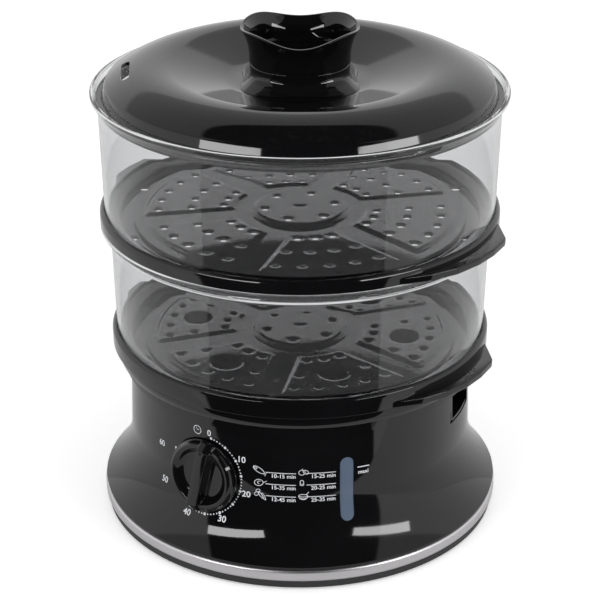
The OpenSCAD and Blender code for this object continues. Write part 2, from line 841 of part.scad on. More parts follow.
module timer_bell() {
    r = 13;
    color(steel)
        outwards(knob_az, knob_at, knob_z, knob_lean)
            translate([0, 0, case_top - case_d - 3.4])
                difference() {
                    union() {
                        cylinder(r1 = r - 2, r2 = r, h = 2.6);
                        cylinder(r = 2, h = 3.4, $fn = 32);
                    }
                    translate([0, 0, 1])
                        difference() {
                            cylinder(r = r - 2.2, h = 3);
                            cylinder(r = 2, h = 3, $fn = 32);
                        }
                }
}

module timer_screws() {
    color(steel)
        outwards(knob_az, knob_at, knob_z, knob_lean)
            for (s = [-1, 1])
                translate([0, s * timer_screw_at, 0]) {
                    translate([0, 0, -pocket_d]) cylinder(r = screw_head_r, h = 1.4, $fn = 32);
                    translate([0, 0, case_top - 6]) cylinder(r = screw_r, h = 6 - case_top - pocket_d + 0.5,
                                                            $fn = 32);
                }
}

// ---- heater ----

module heater_plate() {
    color([0.75, 0.75, 0.76])
        union() {
            translate([0, 0, heater_z]) cylinder(r = heater_flange_r, h = heater_plate_t);
            translate([0, 0, heater_z + heater_plate_t])
                cylinder(r1 = heater_hole_r, r2 = heater_hole_r - 3, h = 3);
            for (az = stud_az)
                rotate([0, 0, az])
                    translate([stud_at, 0, tank_floor - 7])
                        cylinder(r = stud_r, h = heater_z - tank_floor + 7 + eps, $fn = 32);
        }
}

module heater_gasket() {
    color([0.75, 0.3, 0.2])
        difference() {
            ring_solid(heater_flange_r, heater_hole_r, floor_top, heater_z);
            for (az = stud_az)
                rotate([0, 0, az])
                    translate([stud_at, 0, floor_top - 1])
                        cylinder(r = stud_r + 0.05, h = 9, $fn = 32);
        }
}

module heater_element() {
    z0 = heater_z - element_tube;
    open = 60;
    color([0.5, 0.5, 0.48]) {
        translate([0, 0, z0])
            rotate([0, 0, open / 2 + 90])
                rotate_extrude(angle = 360 - open, $fn = 64)
                    translate([element_r, 0]) circle(r = element_tube - eps, $fn = 32);
        for (s = [-1, 1])
            rotate([0, 0, 90 + s * (open / 2 + 6)])
                translate([element_r, 0, z0 - 16]) cylinder(r = pin_r, h = 15, $fn = 24);
    }
}

module heater_clamp() {
    color(steel)
        difference() {
            ring_solid(heater_flange_r + 1, heater_hole_r + 0.2, tank_floor - 1.6, tank_floor);
            for (az = stud_az)
                rotate([0, 0, az])
                    translate([stud_at, 0, tank_floor - 5])
                        cylinder(r = stud_r + 0.05, h = 9, $fn = 32);
        }
}

module heater_nuts() {
    color(steel)
        for (az = stud_az)
            rotate([0, 0, az])
                translate([stud_at, 0, tank_floor - 4])
                    difference() {
                        cylinder(r = 2.9, h = 2.4, $fn = 6);
                        translate([0, 0, -1]) cylinder(r = stud_r + 0.02, h = 5, $fn = 32);
                    }
}

module thermostat() {
    color([0.2, 0.2, 0.2]) {
        translate([0, 0, heater_z - 8]) cylinder(r = thermostat_r, h = 8);
        for (s = [-1, 1])
            translate([s * 4 - 0.4, -3, heater_z - 15]) cube([0.8, 6, 7.5]);
    }
}

module thermal_fuse() {
    color("ivory")
        translate([-fuse_l / 2, fuse_y, fuse_z])
            rotate([0, 90, 0]) cylinder(r = fuse_r, h = fuse_l, $fn = 32);
}

module fuse_clip() {
    color(steel)
        translate([-2, fuse_y, fuse_z])
            difference() {
                translate([0, -fuse_r - 0.8, -fuse_r - 0.8]) cube([4, 2 * fuse_r + 1.6, 2 * fuse_r + 0.8]);
                translate([-1, 0, 0]) rotate([0, 90, 0]) cylinder(r = fuse_r + 0.02, h = 6, $fn = 32);
            }
}

// ---- wiring ----

gland_z = foot_h + 20;
gland_r = 6.5;
gland_bore = 3.6;
gland_lip = 1.8;
gland_tail = 8;
gland_seat = flare_r(gland_z + gland_r + gland_lip) - base_wall - 0.4;
gland_len = flare_r(gland_z) + 3 - gland_seat + gland_tail;
block_y = 66;
block_w = 34;
block_h = 11;
block_screw_x = 12;
wire_r = 1.1;

module cord_gland() {
    color([0.1, 0.1, 0.1])
        translate([0, gland_seat, gland_z])
            rotate([-90, 0, 0])
                difference() {
                    union() {
                        translate([-gland_r, -gland_r, -gland_tail])
                            cube([2 * gland_r, 2 * gland_r, gland_len]);
                        translate([-gland_r - gland_lip, -gland_r - gland_lip, -3])
                            cube([2 * (gland_r + gland_lip), 2 * (gland_r + gland_lip), 3]);
                    }
                    translate([0, 0, -gland_tail - 1]) cylinder(r = gland_bore, h = gland_len + 2, $fn = 48);
                }
}

module terminal_block() {
    z0 = foot_h + plate_t;
    color([0.9, 0.9, 0.85])
        difference() {
            translate([-block_w / 2, block_y - 7, z0]) cube([block_w, 14, block_h]);
            for (k = [-1:1])
                translate([k * 8, block_y - 8, z0 + 6])
                    rotate([-90, 0, 0]) cylinder(r = wire_r + 0.15, h = 16, $fn = 24);
            for (s = [-1, 1])
                translate([s * block_screw_x, block_y, z0 - 1]) {
                    cylinder(r = screw_r + 0.02, h = 20, $fn = 32);
                    translate([0, 0, block_h - 1]) cylinder(r = screw_head_r + 0.1, h = 9, $fn = 32);
                }
        }
}

module block_screws() {
    z0 = foot_h + 0.4;
    top = foot_h + plate_t + block_h - 2;
    color(steel)
        for (s = [-1, 1])
            translate([s * block_screw_x, block_y, 0]) {
                translate([0, 0, z0]) cylinder(r = screw_r, h = top - z0 + 0.5, $fn = 32);
                translate([0, 0, top]) cylinder(r = screw_head_r, h = 1.4, $fn = 32);
            }
}

function unit(v) = v / norm(v);
// Smooth points through a hand-laid route
function smooth(p, n = 5) = concat([
    for (i = [0:len(p) - 2], k = [0:n - 1])
        let (a = p[max(i - 1, 0)], b = p[i], c = p[i + 1], d = p[min(i + 2, len(p) - 1)], t = k / n)
            0.5 * ((2 * b) + (c - a) * t + (2 * a - 5 * b + 4 * c - d) * t * t
                   + (3 * b - a - 3 * c + d) * t * t * t)
], [p[len(p) - 1]]);

module wire(route, tint) {
    n = 8;
    p = smooth(route);
    m = len(p);
    guide = unit([0.35, 0.2, 1]);
    rings = [
        for (i = [0:m - 1])
            let (d = unit(p[min(i + 1, m - 1)] - p[max(i - 1, 0)]),
                 u = unit(cross(d, guide)), v = cross(u, d))
                [for (k = [0:n - 1]) p[i] + wire_r * (cos(360 * k / n) * u + sin(360 * k / n) * v)]
    ];
    color(tint) loft(rings);
}

block_hole_z = foot_h + plate_t + 6;
pin_az = 36;
pin_x = element_r * sin(pin_az);
pin_y = element_r * cos(pin_az);
pin_z = heater_z - element_tube - 16.2;
fuse_y = -stud_at + fuse_r;
fuse_z = tank_floor - 1.6 - fuse_r;
blade_z = heater_z - 15.2;
// Two terminals under the timer's case, on either side of its middle
case_foot_r = knob_at - 17;
case_foot_z = knob_z - case_h / 2 - 1.8;
function case_foot(side, up) = [
    case_foot_r * cos(knob_az) - side * sin(knob_az),
    case_foot_r * sin(knob_az) + side * cos(knob_az), case_foot_z + up
];

module live_wire() {
    wire([
        [-8, block_y - 7.3, block_hole_z], [-8, 52, 9.5], [-20, 30, 9], [-44, 0, 9], [-54, -30, 9],
        [-56, -58, 12], case_foot(-8, -20), case_foot(-8, -8), case_foot(-8, 0)
    ], "brown");
}

module switched_wire() {
    wire([
        case_foot(8, 0), case_foot(8, -10), case_foot(8, -24), [-34, -62, 11], [-22, -36, 9.5],
        [-8, -9, 10.5], [-4, -1.5, 14], [-4, 0, blade_z]
    ], "brown");
}

module fuse_leads() {
    wire([
        [4, 0, blade_z], [4.6, -3, 16.5], [10, -13, 16], [13.5, -20.5, 21],
        [11, fuse_y, fuse_z - 0.8], [fuse_l / 2 + 0.1, fuse_y, fuse_z]
    ], "red");
    wire([
        [-fuse_l / 2 - 0.1, fuse_y, fuse_z], [-11, fuse_y, fuse_z - 0.8], [-17, -18, 21],
        [-21, -4, 15], [-18, 8, 12.5], [-pin_x - 2, pin_y + 0.5, 13], [-pin_x, pin_y, pin_z]
    ], "red");
}

module neutral_wire() {
    wire([
        [8, block_y - 7.3, block_hole_z], [8, 50, 9.5], [12, 36, 9.5], [12.5, 22, 10.5],
        [pin_x + 1, pin_y + 1, 13.5], [pin_x, pin_y, pin_z]
    ], "blue");
}

module earth_wire() {
    wire([
        [0, block_y - 7.3, block_hole_z], [0.5, 52, 9.7], [-2, 42, 11], [-8, 30, 15],
        [-19, 19, 22], [-23.5, 13.5, 28], [-23.5, 13.5, tank_floor - 1.7]
    ], "yellowgreen");
}

lid_dome();
lid_handle_base();
lid_handle_cup();
lid_handle_screws();
upper_bowl_wall();
upper_bowl_base();
upper_grid();
lower_bowl_wall();
lower_bowl_base();
lower_grid();
juice_collector();
collector_wall();
collector_floor();
collector_chimney();
turbo_ring();
base_housing();
trim_ring();
bottom_plate();
rubber_feet();
base_screws();
water_tank();
tank_deck();
water_filler();
level_window();
window_gasket();
timer_knob();
timer_shaft();
timer_case();
timer_bell();
timer_screws();
heater_plate();
heater_gasket();
heater_element();
heater_clamp();
heater_nuts();
thermostat();
thermal_fuse();
fuse_clip();
terminal_block();
block_screws();
cord_gland();
live_wire();
switched_wire();
fuse_leads();
neutral_wire();
earth_wire();
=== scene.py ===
import json
import math

import bmesh
import bpy
import numpy as np
from mathutils import Matrix, Vector


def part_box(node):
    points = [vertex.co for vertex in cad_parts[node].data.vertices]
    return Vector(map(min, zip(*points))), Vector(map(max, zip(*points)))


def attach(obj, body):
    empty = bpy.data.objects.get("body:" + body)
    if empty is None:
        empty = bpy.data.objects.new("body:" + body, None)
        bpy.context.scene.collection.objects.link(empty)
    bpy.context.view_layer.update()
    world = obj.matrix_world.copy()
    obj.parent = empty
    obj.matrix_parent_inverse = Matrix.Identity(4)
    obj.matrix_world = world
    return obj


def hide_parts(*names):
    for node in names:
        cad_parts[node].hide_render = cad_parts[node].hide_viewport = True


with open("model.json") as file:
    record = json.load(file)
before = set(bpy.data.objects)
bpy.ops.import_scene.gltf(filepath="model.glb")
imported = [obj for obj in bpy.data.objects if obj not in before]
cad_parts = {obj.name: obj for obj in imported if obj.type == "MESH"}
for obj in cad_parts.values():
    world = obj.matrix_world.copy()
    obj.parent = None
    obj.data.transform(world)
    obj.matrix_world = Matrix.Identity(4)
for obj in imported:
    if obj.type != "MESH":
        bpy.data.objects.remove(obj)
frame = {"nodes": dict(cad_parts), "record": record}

bl_info = {
    "name": "Food Steamer",
    "version": (1, 0, 0),
    "blender": (4, 5, 0),
    "location": "View3D > Sidebar > Steamer",
    "description": "Builds the detailed pieces, finishes and studio of a stacked food steamer",
    "category": "Object",
}

TURN = 2 * math.pi
MM = 0.001

# Levels and radii in millimetres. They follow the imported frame, but for the lid's dished middle
# (PAD_R, PAD_Z), which is about 2 mm shallower here.
SKIRT_R, SKIRT_Z = 127.4, 16.2
BODY_R, FLARE_TOP = 109.4, 56.0
BODY_TOP_R, BODY_TOP_Z = 108.2, 101.2
UPPER = {"ring": 124.0, "z": 195.7, "h": 8.5, "rim": 127.0, "top": 279.0, "spigot": 120.7}
LOWER = {"ring": 119.3, "z": 113.5, "h": 11.7, "rim": 124.0, "top": 195.4, "spigot": 112.5}
WALL_IN, WALL_T, WALL_FOOT = 2.9, 2.2, 2.85
DRAIN_AZ, DRAIN_IN, DRAIN_R = (-22, -158, 22, 158), 15.5, 4.0
EAR_AZ, EAR_T = -38.0, 4.5

LID_Z, FLANGE_Z, FLANGE_R, LIP_R, LIP_DROP = 273.6, 275.6, 123.4, 119.8, 5
DOME_R, EDGE_Z, CROWN_Z, CROWN_R, PAD_R, PAD_Z = 117.0, 283.4, 293.0, 90.0, 36.0, 282.6
LID_T, LID_INNER_R, DISH_SOFT = 2.2, 113.0, 0.2
SHOULDER = ((0.35, 0.28), (0.62, 0.6), (0.82, 0.96), (0.98, 1.34))
BAND_W, BAND_H = 2.25, 6.46
VENT_AZ, VENT_AT, VENT_HALF_W, VENT_HALF_L, VENT_ROUND = 183.6, 105, 2.5, 16.0, 2.45
HANDLE_SEAM_Z = 294.7
HANDLE_FOOT, HANDLE_WAIST, HANDLE_RIM = 34.6, 30.4, 35.7
HANDLE_CUP_H, HANDLE_WAVE, HANDLE_DENT = 17.0, 5.0, 0.08

# The pressed grids: how they are turned, how far they stay inside the ring, and their parts
UPPER_GRID_AZ, LOWER_GRID_AZ = -78.8, -72.0
GRID_IN, SHEET_T, HOLE_R, EGG_R = 21.0, 1.4, 2.6, 9.5
EGG_ROW_R, DISC_HOLES_R = 67.5, 22
PANEL_RISE, PANEL_IN_R, PANEL_RIM, RIB_HALF = 1.4, 41, 7, 16.6
DISC_RISE, DISC_R = 2.8, 30.4
SLOT_HALF, SLOT_R = 2.3, 1.2

KNOB_AZ, KNOB_REACH, KNOB_Z, KNOB_LEAN, KNOB_ZERO = -122.0, 110.8, 61.7, 5.1, 10.4
KNOB_R, SCOOP_R, GRIP_TOP, GRIP_MARK = 23.4, 19.4, 8.4, 17.6
DIAL_R, MINUTE_TURN = 25.8, 4.7
# Each printed number of the dial, with its azimuth in degrees and its level
DIAL_NUMBERS = ((0, -120.3, 90.0), (10, -108.9, 77.1), (20, -107.3, 54.0), (30, -114.7, 35.9),
                (40, -127.22, 33.7), (50, -139.31, 45.65), (60, -141.45, 69.26))
CLOCK_AZ, CLOCK_Z = -124.85, 90.2
MAXI_AZ, MAXI_Z = -69.5, 72.2

FLOOR_SIDE, FLOOR_FRONT, FLOOR_BACK = 1600, -195, 2600
# What gloss sees of the room, in degrees: a dark gap round the camera, and elevations over
# which the room gets dimmer and then dark
GAP_AZ, GAP_HALF = -94, (53, 55)
DIMMER_ABOVE, DARK_ABOVE = (28, 30.5), (60, 62)
DIMMER, BRIGHT_LEVEL, DARK_LEVEL = 0.58, 0.96, 0.02
# Each softbox: name, azimuth and elevation in degrees, width and height in metres. The power
# that the studio's settings give is that of a box of POWER_AREA square metres.
SOFTBOXES = (("left_softbox", -128.2, 19.8, 0.75, 0.155), ("right_softbox", -41.0, 18.6, 0.78, 0.165))
POWER_AREA = 0.75 * 0.33
SOFTBOX_AIM_Z = 0.12
CAMERA_AT, CAMERA_TILT = (0.0, -1.1, 0.6515), 64.84


# ---------------------------------------------------------------- mesh helpers

def put(name, verts, faces, sharp=35.0, fix=True):
    """A mesh object from points in millimetres, smooth up to an angle between faces."""
    mesh = bpy.data.meshes.new(name)
    mesh.from_pydata([(x * MM, y * MM, z * MM) for x, y, z in verts], [], faces)
    if fix:
        bm = bmesh.new()
        bm.from_mesh(mesh)
        bmesh.ops.recalc_face_normals(bm, faces=bm.faces)
        bm.to_mesh(mesh)
        bm.free()
    obj = bpy.data.objects.new(name, mesh)
    bpy.context.scene.collection.objects.link(obj)
    soften(obj, sharp)
    return obj


def soften(obj, sharp=35.0):
    obj.data.shade_smooth()
    obj.data.set_sharp_from_angle(angle=math.radians(sharp))


def fit(obj, finish, body, slot, *nodes):
    """Give a piece its finish and the body that it rides on, and hide the CAD nodes that it stands
    for.
    """
    obj.data.materials.clear()
    obj.data.materials.append(finish)
    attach(obj, body)
    if nodes:
        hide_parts(*nodes)
    return obj


def fillet(corners, closed=True):
    """Round the corners of an outline. Each corner is (x, y, radius)."""
    out = []
    n = len(corners)
    for i, (x, y, rad) in enumerate(corners):
        p = np.array([x, y], float)
        if rad <= 0 or (not closed and i in (0, n - 1)):
            out.append((x, y))
            continue
        a = np.array(corners[i - 1][:2], float) - p
        b = np.array(corners[(i + 1) % n][:2], float) - p
        la, lb = np.linalg.norm(a), np.linalg.norm(b)
        a, b = a / la, b / lb
        half = math.acos(max(-1.0, min(1.0, float(a @ b)))) / 2
        if half > 1.53 or half < 0.03:
            out.append((x, y))
            continue
        cut = min(rad / math.tan(half), 0.48 * la, 0.48 * lb)
        rad = cut * math.tan(half)
        mid = p + (a + b) / np.linalg.norm(a + b) * rad / math.sin(half)
        u, v = p + a * cut - mid, p + b * cut - mid
        sweep = math.atan2(u[0] * v[1] - u[1] * v[0], float(u @ v))
        steps = max(2, int(abs(sweep) / 0.26))
        for k in range(steps + 1):
            t = sweep * k / steps
            c, s = math.cos(t), math.sin(t)
            out.append((mid[0] + c * u[0] - s * u[1], mid[1] + s * u[0] + c * u[1]))
    return out


def lathe(outline, steps):
    """Turn a closed outline of (radius, height) round the Z axis."""
    verts, faces = [], []
    m = len(outline)
    for i in range(steps):
        c, s = math.cos(TURN * i / steps), math.sin(TURN * i / steps)
        verts += [(r * c, r * s, z) for r, z in outline]
    for i in range(steps):
        j = (i + 1) % steps
        for k in range(m):
            q = (k + 1) % m
            faces.append((i * m + k, j * m + k, j * m + q, i * m + q))
    return verts, faces


def disc_lathe(outline, steps):
    """Turn an open outline whose two ends lie on the Z axis."""
    verts, faces = [], []
    m = len(outline) - 2
    for i in range(steps):
        c, s = math.cos(TURN * i / steps), math.sin(TURN * i / steps)
        verts += [(r * c, r * s, z) for r, z in outline[1:-1]]
    first, last = len(verts), len(verts) + 1
    verts += [(0, 0, outline[0][1]), (0, 0, outline[-1][1])]
    for i in range(steps):
        j = (i + 1) % steps
        faces.append((first, i * m, j * m))
        faces.append((last, j * m + m - 1, i * m + m - 1))
        for k in range(m - 1):
            faces.append((i * m + k, i * m + k + 1, j * m + k + 1, j * m + k))
    return verts, faces


def joined(*parts):
    verts, faces = [], []
    for v, f in parts:
        n = len(verts)
        verts += list(v)
        faces += [tuple(i + n for i in face) for face in f]
    return verts, faces


def circle(radius, count, x=0.0, y=0.0):
    """Points round a circle."""
    return [(x + radius * math.cos(TURN * i / count), y + radius * math.sin(TURN * i / count))
            for i in range(count)]


def prism(outline, z0, z1):
    """An upright block over a closed (x, y) outline."""
    return skin([[(x, y, z) for x, y in outline] for z in (z0, z1)])


def skin(rings):
    """A closed skin through rings of equally many points."""
    n = len(rings[0])
    verts = [p for ring in rings for p in ring]
    faces = []
    for k in range(len(rings) - 1):
        for i in range(n):
            j = (i + 1) % n
            faces.append((k * n + i, k * n + j, k * n + n + j, k * n + n + i))
    faces += [tuple(range(n)), tuple(range(len(verts) - n, len(verts)))]
    return verts, faces


def pillar(outline, z0, z1, edge):
    """An upright plate of a closed (x, y) outline, with its top and bottom edges rounded."""
    pts = np.array(outline, float)
    ahead = np.roll(pts, -1, 0) - np.roll(pts, 1, 0)
    out = np.stack([ahead[:, 1], -ahead[:, 0]], 1)
    out /= np.linalg.norm(out, axis=1)[:, None]
    area = np.sum(pts[:, 0] * np.roll(pts[:, 1], -1) - pts[:, 1] * np.roll(pts[:, 0], -1))
    if area < 0:
        out = -out
    quarter = [math.pi / 2 * k / 4 for k in range(5)]
    rows = [(edge * (1 - math.sin(t)), z0 + edge * (1 - math.cos(t))) for t in quarter]
    rows += [(edge * (1 - math.cos(t)), z1 - edge * (1 - math.sin(t))) for t in quarter]
    return skin([[(p[0] - o[0] * inset, p[1] - o[1] * inset, z) for p, o in zip(pts, out)]
                 for inset, z in rows])


def carve(obj, cutter, sharp=35.0):
    """Cut one mesh away from another for good."""
    mod = obj.modifiers.new("cut", "BOOLEAN")
    mod.operation = "DIFFERENCE"
    mod.solver = "EXACT"
    mod.object = cutter
    mesh = bpy.data.meshes.new_from_object(
        obj.evaluated_get(bpy.context.evaluated_depsgraph_get()))
    obj.modifiers.clear()
    obj.data = mesh
    spare = cutter.data
    bpy.data.objects.remove(cutter)
    bpy.data.meshes.remove(spare)
    soften(obj, sharp)


def rods(places, radius, z0, z1, steps=32):
    """Upright round cutters at (x, y) places."""
    return put("cutter", *joined(*(prism(circle(radius, steps, x, y), z0, z1)
                                   for x, y in places)))


def cad_copy(node, name, sharp=35.0, side=None):
    """A smooth-shaded copy of a CAD node. side(r, z) gives the outward slope of a turned face."""
    mesh = frame["nodes"][node].data.copy()
    bm = bmesh.new()
    bm.from_mesh(mesh)
    bmesh.ops.remove_doubles(bm, verts=bm.verts, dist=2e-6)
    bmesh.ops.dissolve_degenerate(bm, edges=bm.edges, dist=1e-6)
    bmesh.ops.recalc_face_normals(bm, faces=bm.faces)
    bm.to_mesh(mesh)
    bm.free()
    obj = bpy.data.objects.new(name, mesh)
    bpy.context.scene.collection.objects.link(obj)
    soften(obj, sharp)
    if side is not None:
        turned_normals(mesh, side)
    return obj


def turned_normals(mesh, side):
    """Exact normals for corners that lie on a turned surface."""
    count = len(mesh.loops)
    normals = np.zeros(count * 3, np.float32)
    mesh.corner_normals.foreach_get("vector", normals)
    normals = normals.reshape(-1, 3)
    co = np.zeros(len(mesh.vertices) * 3, np.float32)
    mesh.vertices.foreach_get("co", co)
    co = co.reshape(-1, 3) / MM
    for poly in mesh.polygons:
        for li in poly.loop_indices:
            x, y, z = co[mesh.loops[li].vertex_index]
            r = math.hypot(x, y)
            found = side(r, z)
            if found is None or r < 1:
                continue
            nr, nz = found
            n = Vector((x / r * nr, y / r * nr, nz))
            if n.dot(poly.normal) > 0.96:
                normals[li] = n
    mesh.normals_split_custom_set(normals)


def through(xs, ys, x):
    """Smooth curve through a table of values."""
    x = np.clip(np.asarray(x, float), xs[0], xs[-1])
    xs, ys = np.asarray(xs, float), np.asarray(ys, float)
    h = np.diff(xs)
    d = np.diff(ys) / h
    m = np.zeros(len(xs))
    m[0], m[-1] = d[0], d[-1]
    for i in range(1, len(xs) - 1):
        m[i] = 0 if d[i - 1] * d[i] <= 0 else 2 * d[i - 1] * d[i] / (d[i - 1] + d[i])
    i = np.clip(np.searchsorted(xs, x) - 1, 0, len(xs) - 2)
    t = (x - xs[i]) / h[i]
    return (ys[i] * (1 + 2 * t) * (1 - t) ** 2 + m[i] * h[i] * t * (1 - t) ** 2
            + ys[i + 1] * t * t * (3 - 2 * t) + m[i + 1] * h[i] * t * t * (t - 1))


def ramp(x):
    x = np.clip(x, 0, 1)
    return x * x * (3 - 2 * x)


# ---------------------------------------------------------------- shader groups

def group_of(name, inputs, outputs):
    tree = bpy.data.node_groups.new(name, "ShaderNodeTree")
    for label, kind, value in inputs:
        tree.interface.new_socket(label, in_out="INPUT", socket_type=kind).default_value = value
    for label, kind in outputs:
        tree.interface.new_socket(label, in_out="OUTPUT", socket_type=kind)
    return tree, tree.nodes.new("NodeGroupInput"), tree.nodes.new("NodeGroupOutput")


def feed(tree, value, socket):
    """Link a socket, or set a plain number on it."""
    if isinstance(value, (int, float)):
        socket.default_value = value
    else:
        tree.links.new(value, socket)


def math_node(tree, kind, *values):
    node = tree.nodes.new("ShaderNodeMath")
    node.operation = kind
    for value, socket in zip(values, node.inputs):
        feed(tree, value, socket)
    return node.outputs[0]


def span_node(tree, value, a, b, c=0.0, d=1.0):
    """Turn the span a to b into c to d, with soft ends."""
    node = tree.nodes.new("ShaderNodeMapRange")
    node.interpolation_type = "SMOOTHSTEP"
    for v, socket in zip((value, a, b, c, d), node.inputs):
        feed(tree, v, socket)
    return node.outputs[0]


def noise_node(tree, vector, scale, detail=3.0):
    node = tree.nodes.new("ShaderNodeTexNoise")
    node.inputs["Detail"].default_value = detail
    feed(tree, scale, node.inputs["Scale"])
    tree.links.new(vector, node.inputs["Vector"])
    return node.outputs["Fac"]


def place_node(tree, kind="Object"):
    return tree.nodes.new("ShaderNodeTexCoord").outputs[kind]


def split_node(tree, vector):
    """The X, Y and Z of a vector."""
    node = tree.nodes.new("ShaderNodeSeparateXYZ")
    tree.links.new(vector, node.inputs[0])
    return node.outputs


def cloud_group():
    """Slow cloudy change and a fine moulded grain."""
    tree, gi, go = group_of(
        "Cloud and Grain",
        [("Cloud Scale", "NodeSocketFloat", 18.0), ("Grain Scale", "NodeSocketFloat", 1400.0)],
        [("Cloud", "NodeSocketFloat"), ("Grain", "NodeSocketFloat")])
    at = place_node(tree)
    cloud = span_node(tree, noise_node(tree, at, gi.outputs[0]), 0.32, 0.68)
    tree.links.new(cloud, go.inputs[0])
    tree.links.new(noise_node(tree, at, gi.outputs[1], 2.0), go.inputs[1])
    return tree


def wiping_group():
    """Faint hairlines that wiping leaves on a polished surface."""
    tree, gi, go = group_of(
        "Wiping Marks", [("Amount", "NodeSocketFloat", 0.3), ("Scale", "NodeSocketFloat", 90.0)],
        [("Marks", "NodeSocketFloat")])
    at = place_node(tree)
    total = None
    for turn, stretch in ((0.5, 22.0), (1.9, 30.0)):
        place = tree.nodes.new("ShaderNodeMapping")
        place.inputs["Rotation"].default_value = (turn, turn * 0.7, turn * 1.3)
        place.inputs["Scale"].default_value = (1.0, stretch, stretch)
        tree.links.new(at, place.inputs["Vector"])
        line = span_node(tree, noise_node(tree, place.outputs[0], gi.outputs[1], 2.0), 0.66, 0.74)
        total = line if total is None else math_node(tree, "MAXIMUM", total, line)
    tree.links.new(math_node(tree, "MULTIPLY", total, gi.outputs[0]), go.inputs[0])
    return tree


def dust_group():
    """A little dust on surfaces that face up."""
    tree, gi, go = group_of(
        "Settled Dust", [("Amount", "NodeSocketFloat", 0.2)], [("Dust", "NodeSocketFloat")])
    normal = tree.nodes.new("ShaderNodeNewGeometry").outputs["Normal"]
    at = place_node(tree)
    up = span_node(tree, split_node(tree, normal)["Z"], 0.55, 1.0)
    specks = span_node(tree, noise_node(tree, at, 260.0, 5.0), 0.5, 0.78)
    tree.links.new(math_node(tree, "MULTIPLY", math_node(tree, "MULTIPLY", up, specks),
                             gi.outputs[0]), go.inputs[0])
    return tree


def turned_group():
    """Fine lines that run round the Z axis, as brushing a ring leaves them."""
    tree, gi, go = group_of(
        "Turned Grain", [("Fineness", "NodeSocketFloat", 5200.0)],
        [("Lines", "NodeSocketFloat"), ("Patches", "NodeSocketFloat")])
    at = place_node(tree)
    axes = split_node(tree, at)
    around = math_node(tree, "ARCTAN2", axes["Y"], axes["X"])
    join = tree.nodes.new("ShaderNodeCombineXYZ")
    tree.links.new(math_node(tree, "MULTIPLY", around, 6.0), join.inputs["X"])
    tree.links.new(math_node(tree, "MULTIPLY", axes["Z"], gi.outputs[0]), join.inputs["Z"])
    tree.links.new(noise_node(tree, join.outputs[0], 1.0, 4.0), go.inputs[0])
    tree.links.new(noise_node(tree, at, 30.0, 2.0), go.inputs[1])
    return tree


GROUPS = {}


def effect(tree, kind, **values):
    """Place a shared effect in a material, with its own values."""
    if kind not in GROUPS:
        GROUPS[kind] = {"cloud": cloud_group, "wiping": wiping_group,
                        "dust": dust_group, "turned": turned_group}[kind]()
    node = tree.nodes.new("ShaderNodeGroup")
    node.node_tree = GROUPS[kind]
    for label, value in values.items():
        node.inputs[label.replace("_", " ")].default_value = value
    return node


def shader(name):
    finish = bpy.data.materials.new(name)
    finish.use_nodes = True
    return finish, finish.node_tree, finish.node_tree.nodes["Principled BSDF"]


def blend_colours(tree, fac, a, b):
    """Mix two colours, each a plain one or a socket."""
    mix = tree.nodes.new("ShaderNodeMix")
    mix.data_type = "RGBA"
    tree.links.new(fac, mix.inputs[0])
    for i, colour in ((6, a), (7, b)):
        if isinstance(colour, tuple):
            mix.inputs[i].default_value = (*colour, 1.0)
        else:
            tree.links.new(colour, mix.inputs[i])
    return mix.outputs[2]


def emboss(tree, bsdf, height, strength, distance):
    bump = tree.nodes.new("ShaderNodeBump")
    bump.inputs["Strength"].default_value = strength
    bump.inputs["Distance"].default_value = distance
    tree.links.new(height, bump.inputs["Height"])
    tree.links.new(bump.outputs[0], bsdf.inputs["Normal"])


def moulded(name, base, other, rough, spread, grain=0.02, marks=0.2, dust=0.1, grain_scale=1400.0):
    """Moulded plastic or rubber with cloudy gloss, wiping marks, dust and a moulded grain."""
    finish, tree, bsdf = shader(name)
    cloud = effect(tree, "cloud", Grain_Scale=grain_scale)
    wiping = effect(tree, "wiping", Amount=marks)
    settled = effect(tree, "dust", Amount=dust)
    tone = blend_colours(tree, cloud.outputs["Cloud"], base, other)
    tree.links.new(blend_colours(tree, settled.outputs["Dust"], tone, (0.32, 0.31, 0.30)),
                   bsdf.inputs["Base Color"])
    gloss = span_node(tree, cloud.outputs["Cloud"], 0.0, 1.0, rough, rough + spread)
    gloss = math_node(tree, "ADD", gloss, math_node(tree, "MULTIPLY", wiping.outputs["Marks"], 0.18))
    gloss = math_node(tree, "ADD", gloss, math_node(tree, "MULTIPLY", settled.outputs["Dust"], 0.5))
    tree.links.new(gloss, bsdf.inputs["Roughness"])
    bsdf.inputs["IOR"].default_value = 1.5
    emboss(tree, bsdf, cloud.outputs["Grain"], grain, 0.0002)
    return finish


def metal(name, base, other, rough, spread, lines=0.08, fineness=5200.0):
    """Metal with fine turned lines, cloudy tone and wiping marks."""
    finish, tree, bsdf = shader(name)
    turned = effect(tree, "turned", Fineness=fineness)
    wiping = effect(tree, "wiping", Amount=0.4)
    tree.links.new(blend_colours(tree, turned.outputs["Patches"], base, other),
                   bsdf.inputs["Base Color"])
    gloss = span_node(tree, turned.outputs["Lines"], 0.3, 0.7, rough, rough + spread)
    gloss = math_node(tree, "ADD", gloss, math_node(tree, "MULTIPLY", wiping.outputs["Marks"], 0.12))
    tree.links.new(gloss, bsdf.inputs["Roughness"])
    bsdf.inputs["Metallic"].default_value = 1.0
    emboss(tree, bsdf, turned.outputs["Lines"], lines, 0.00008)
    return finish


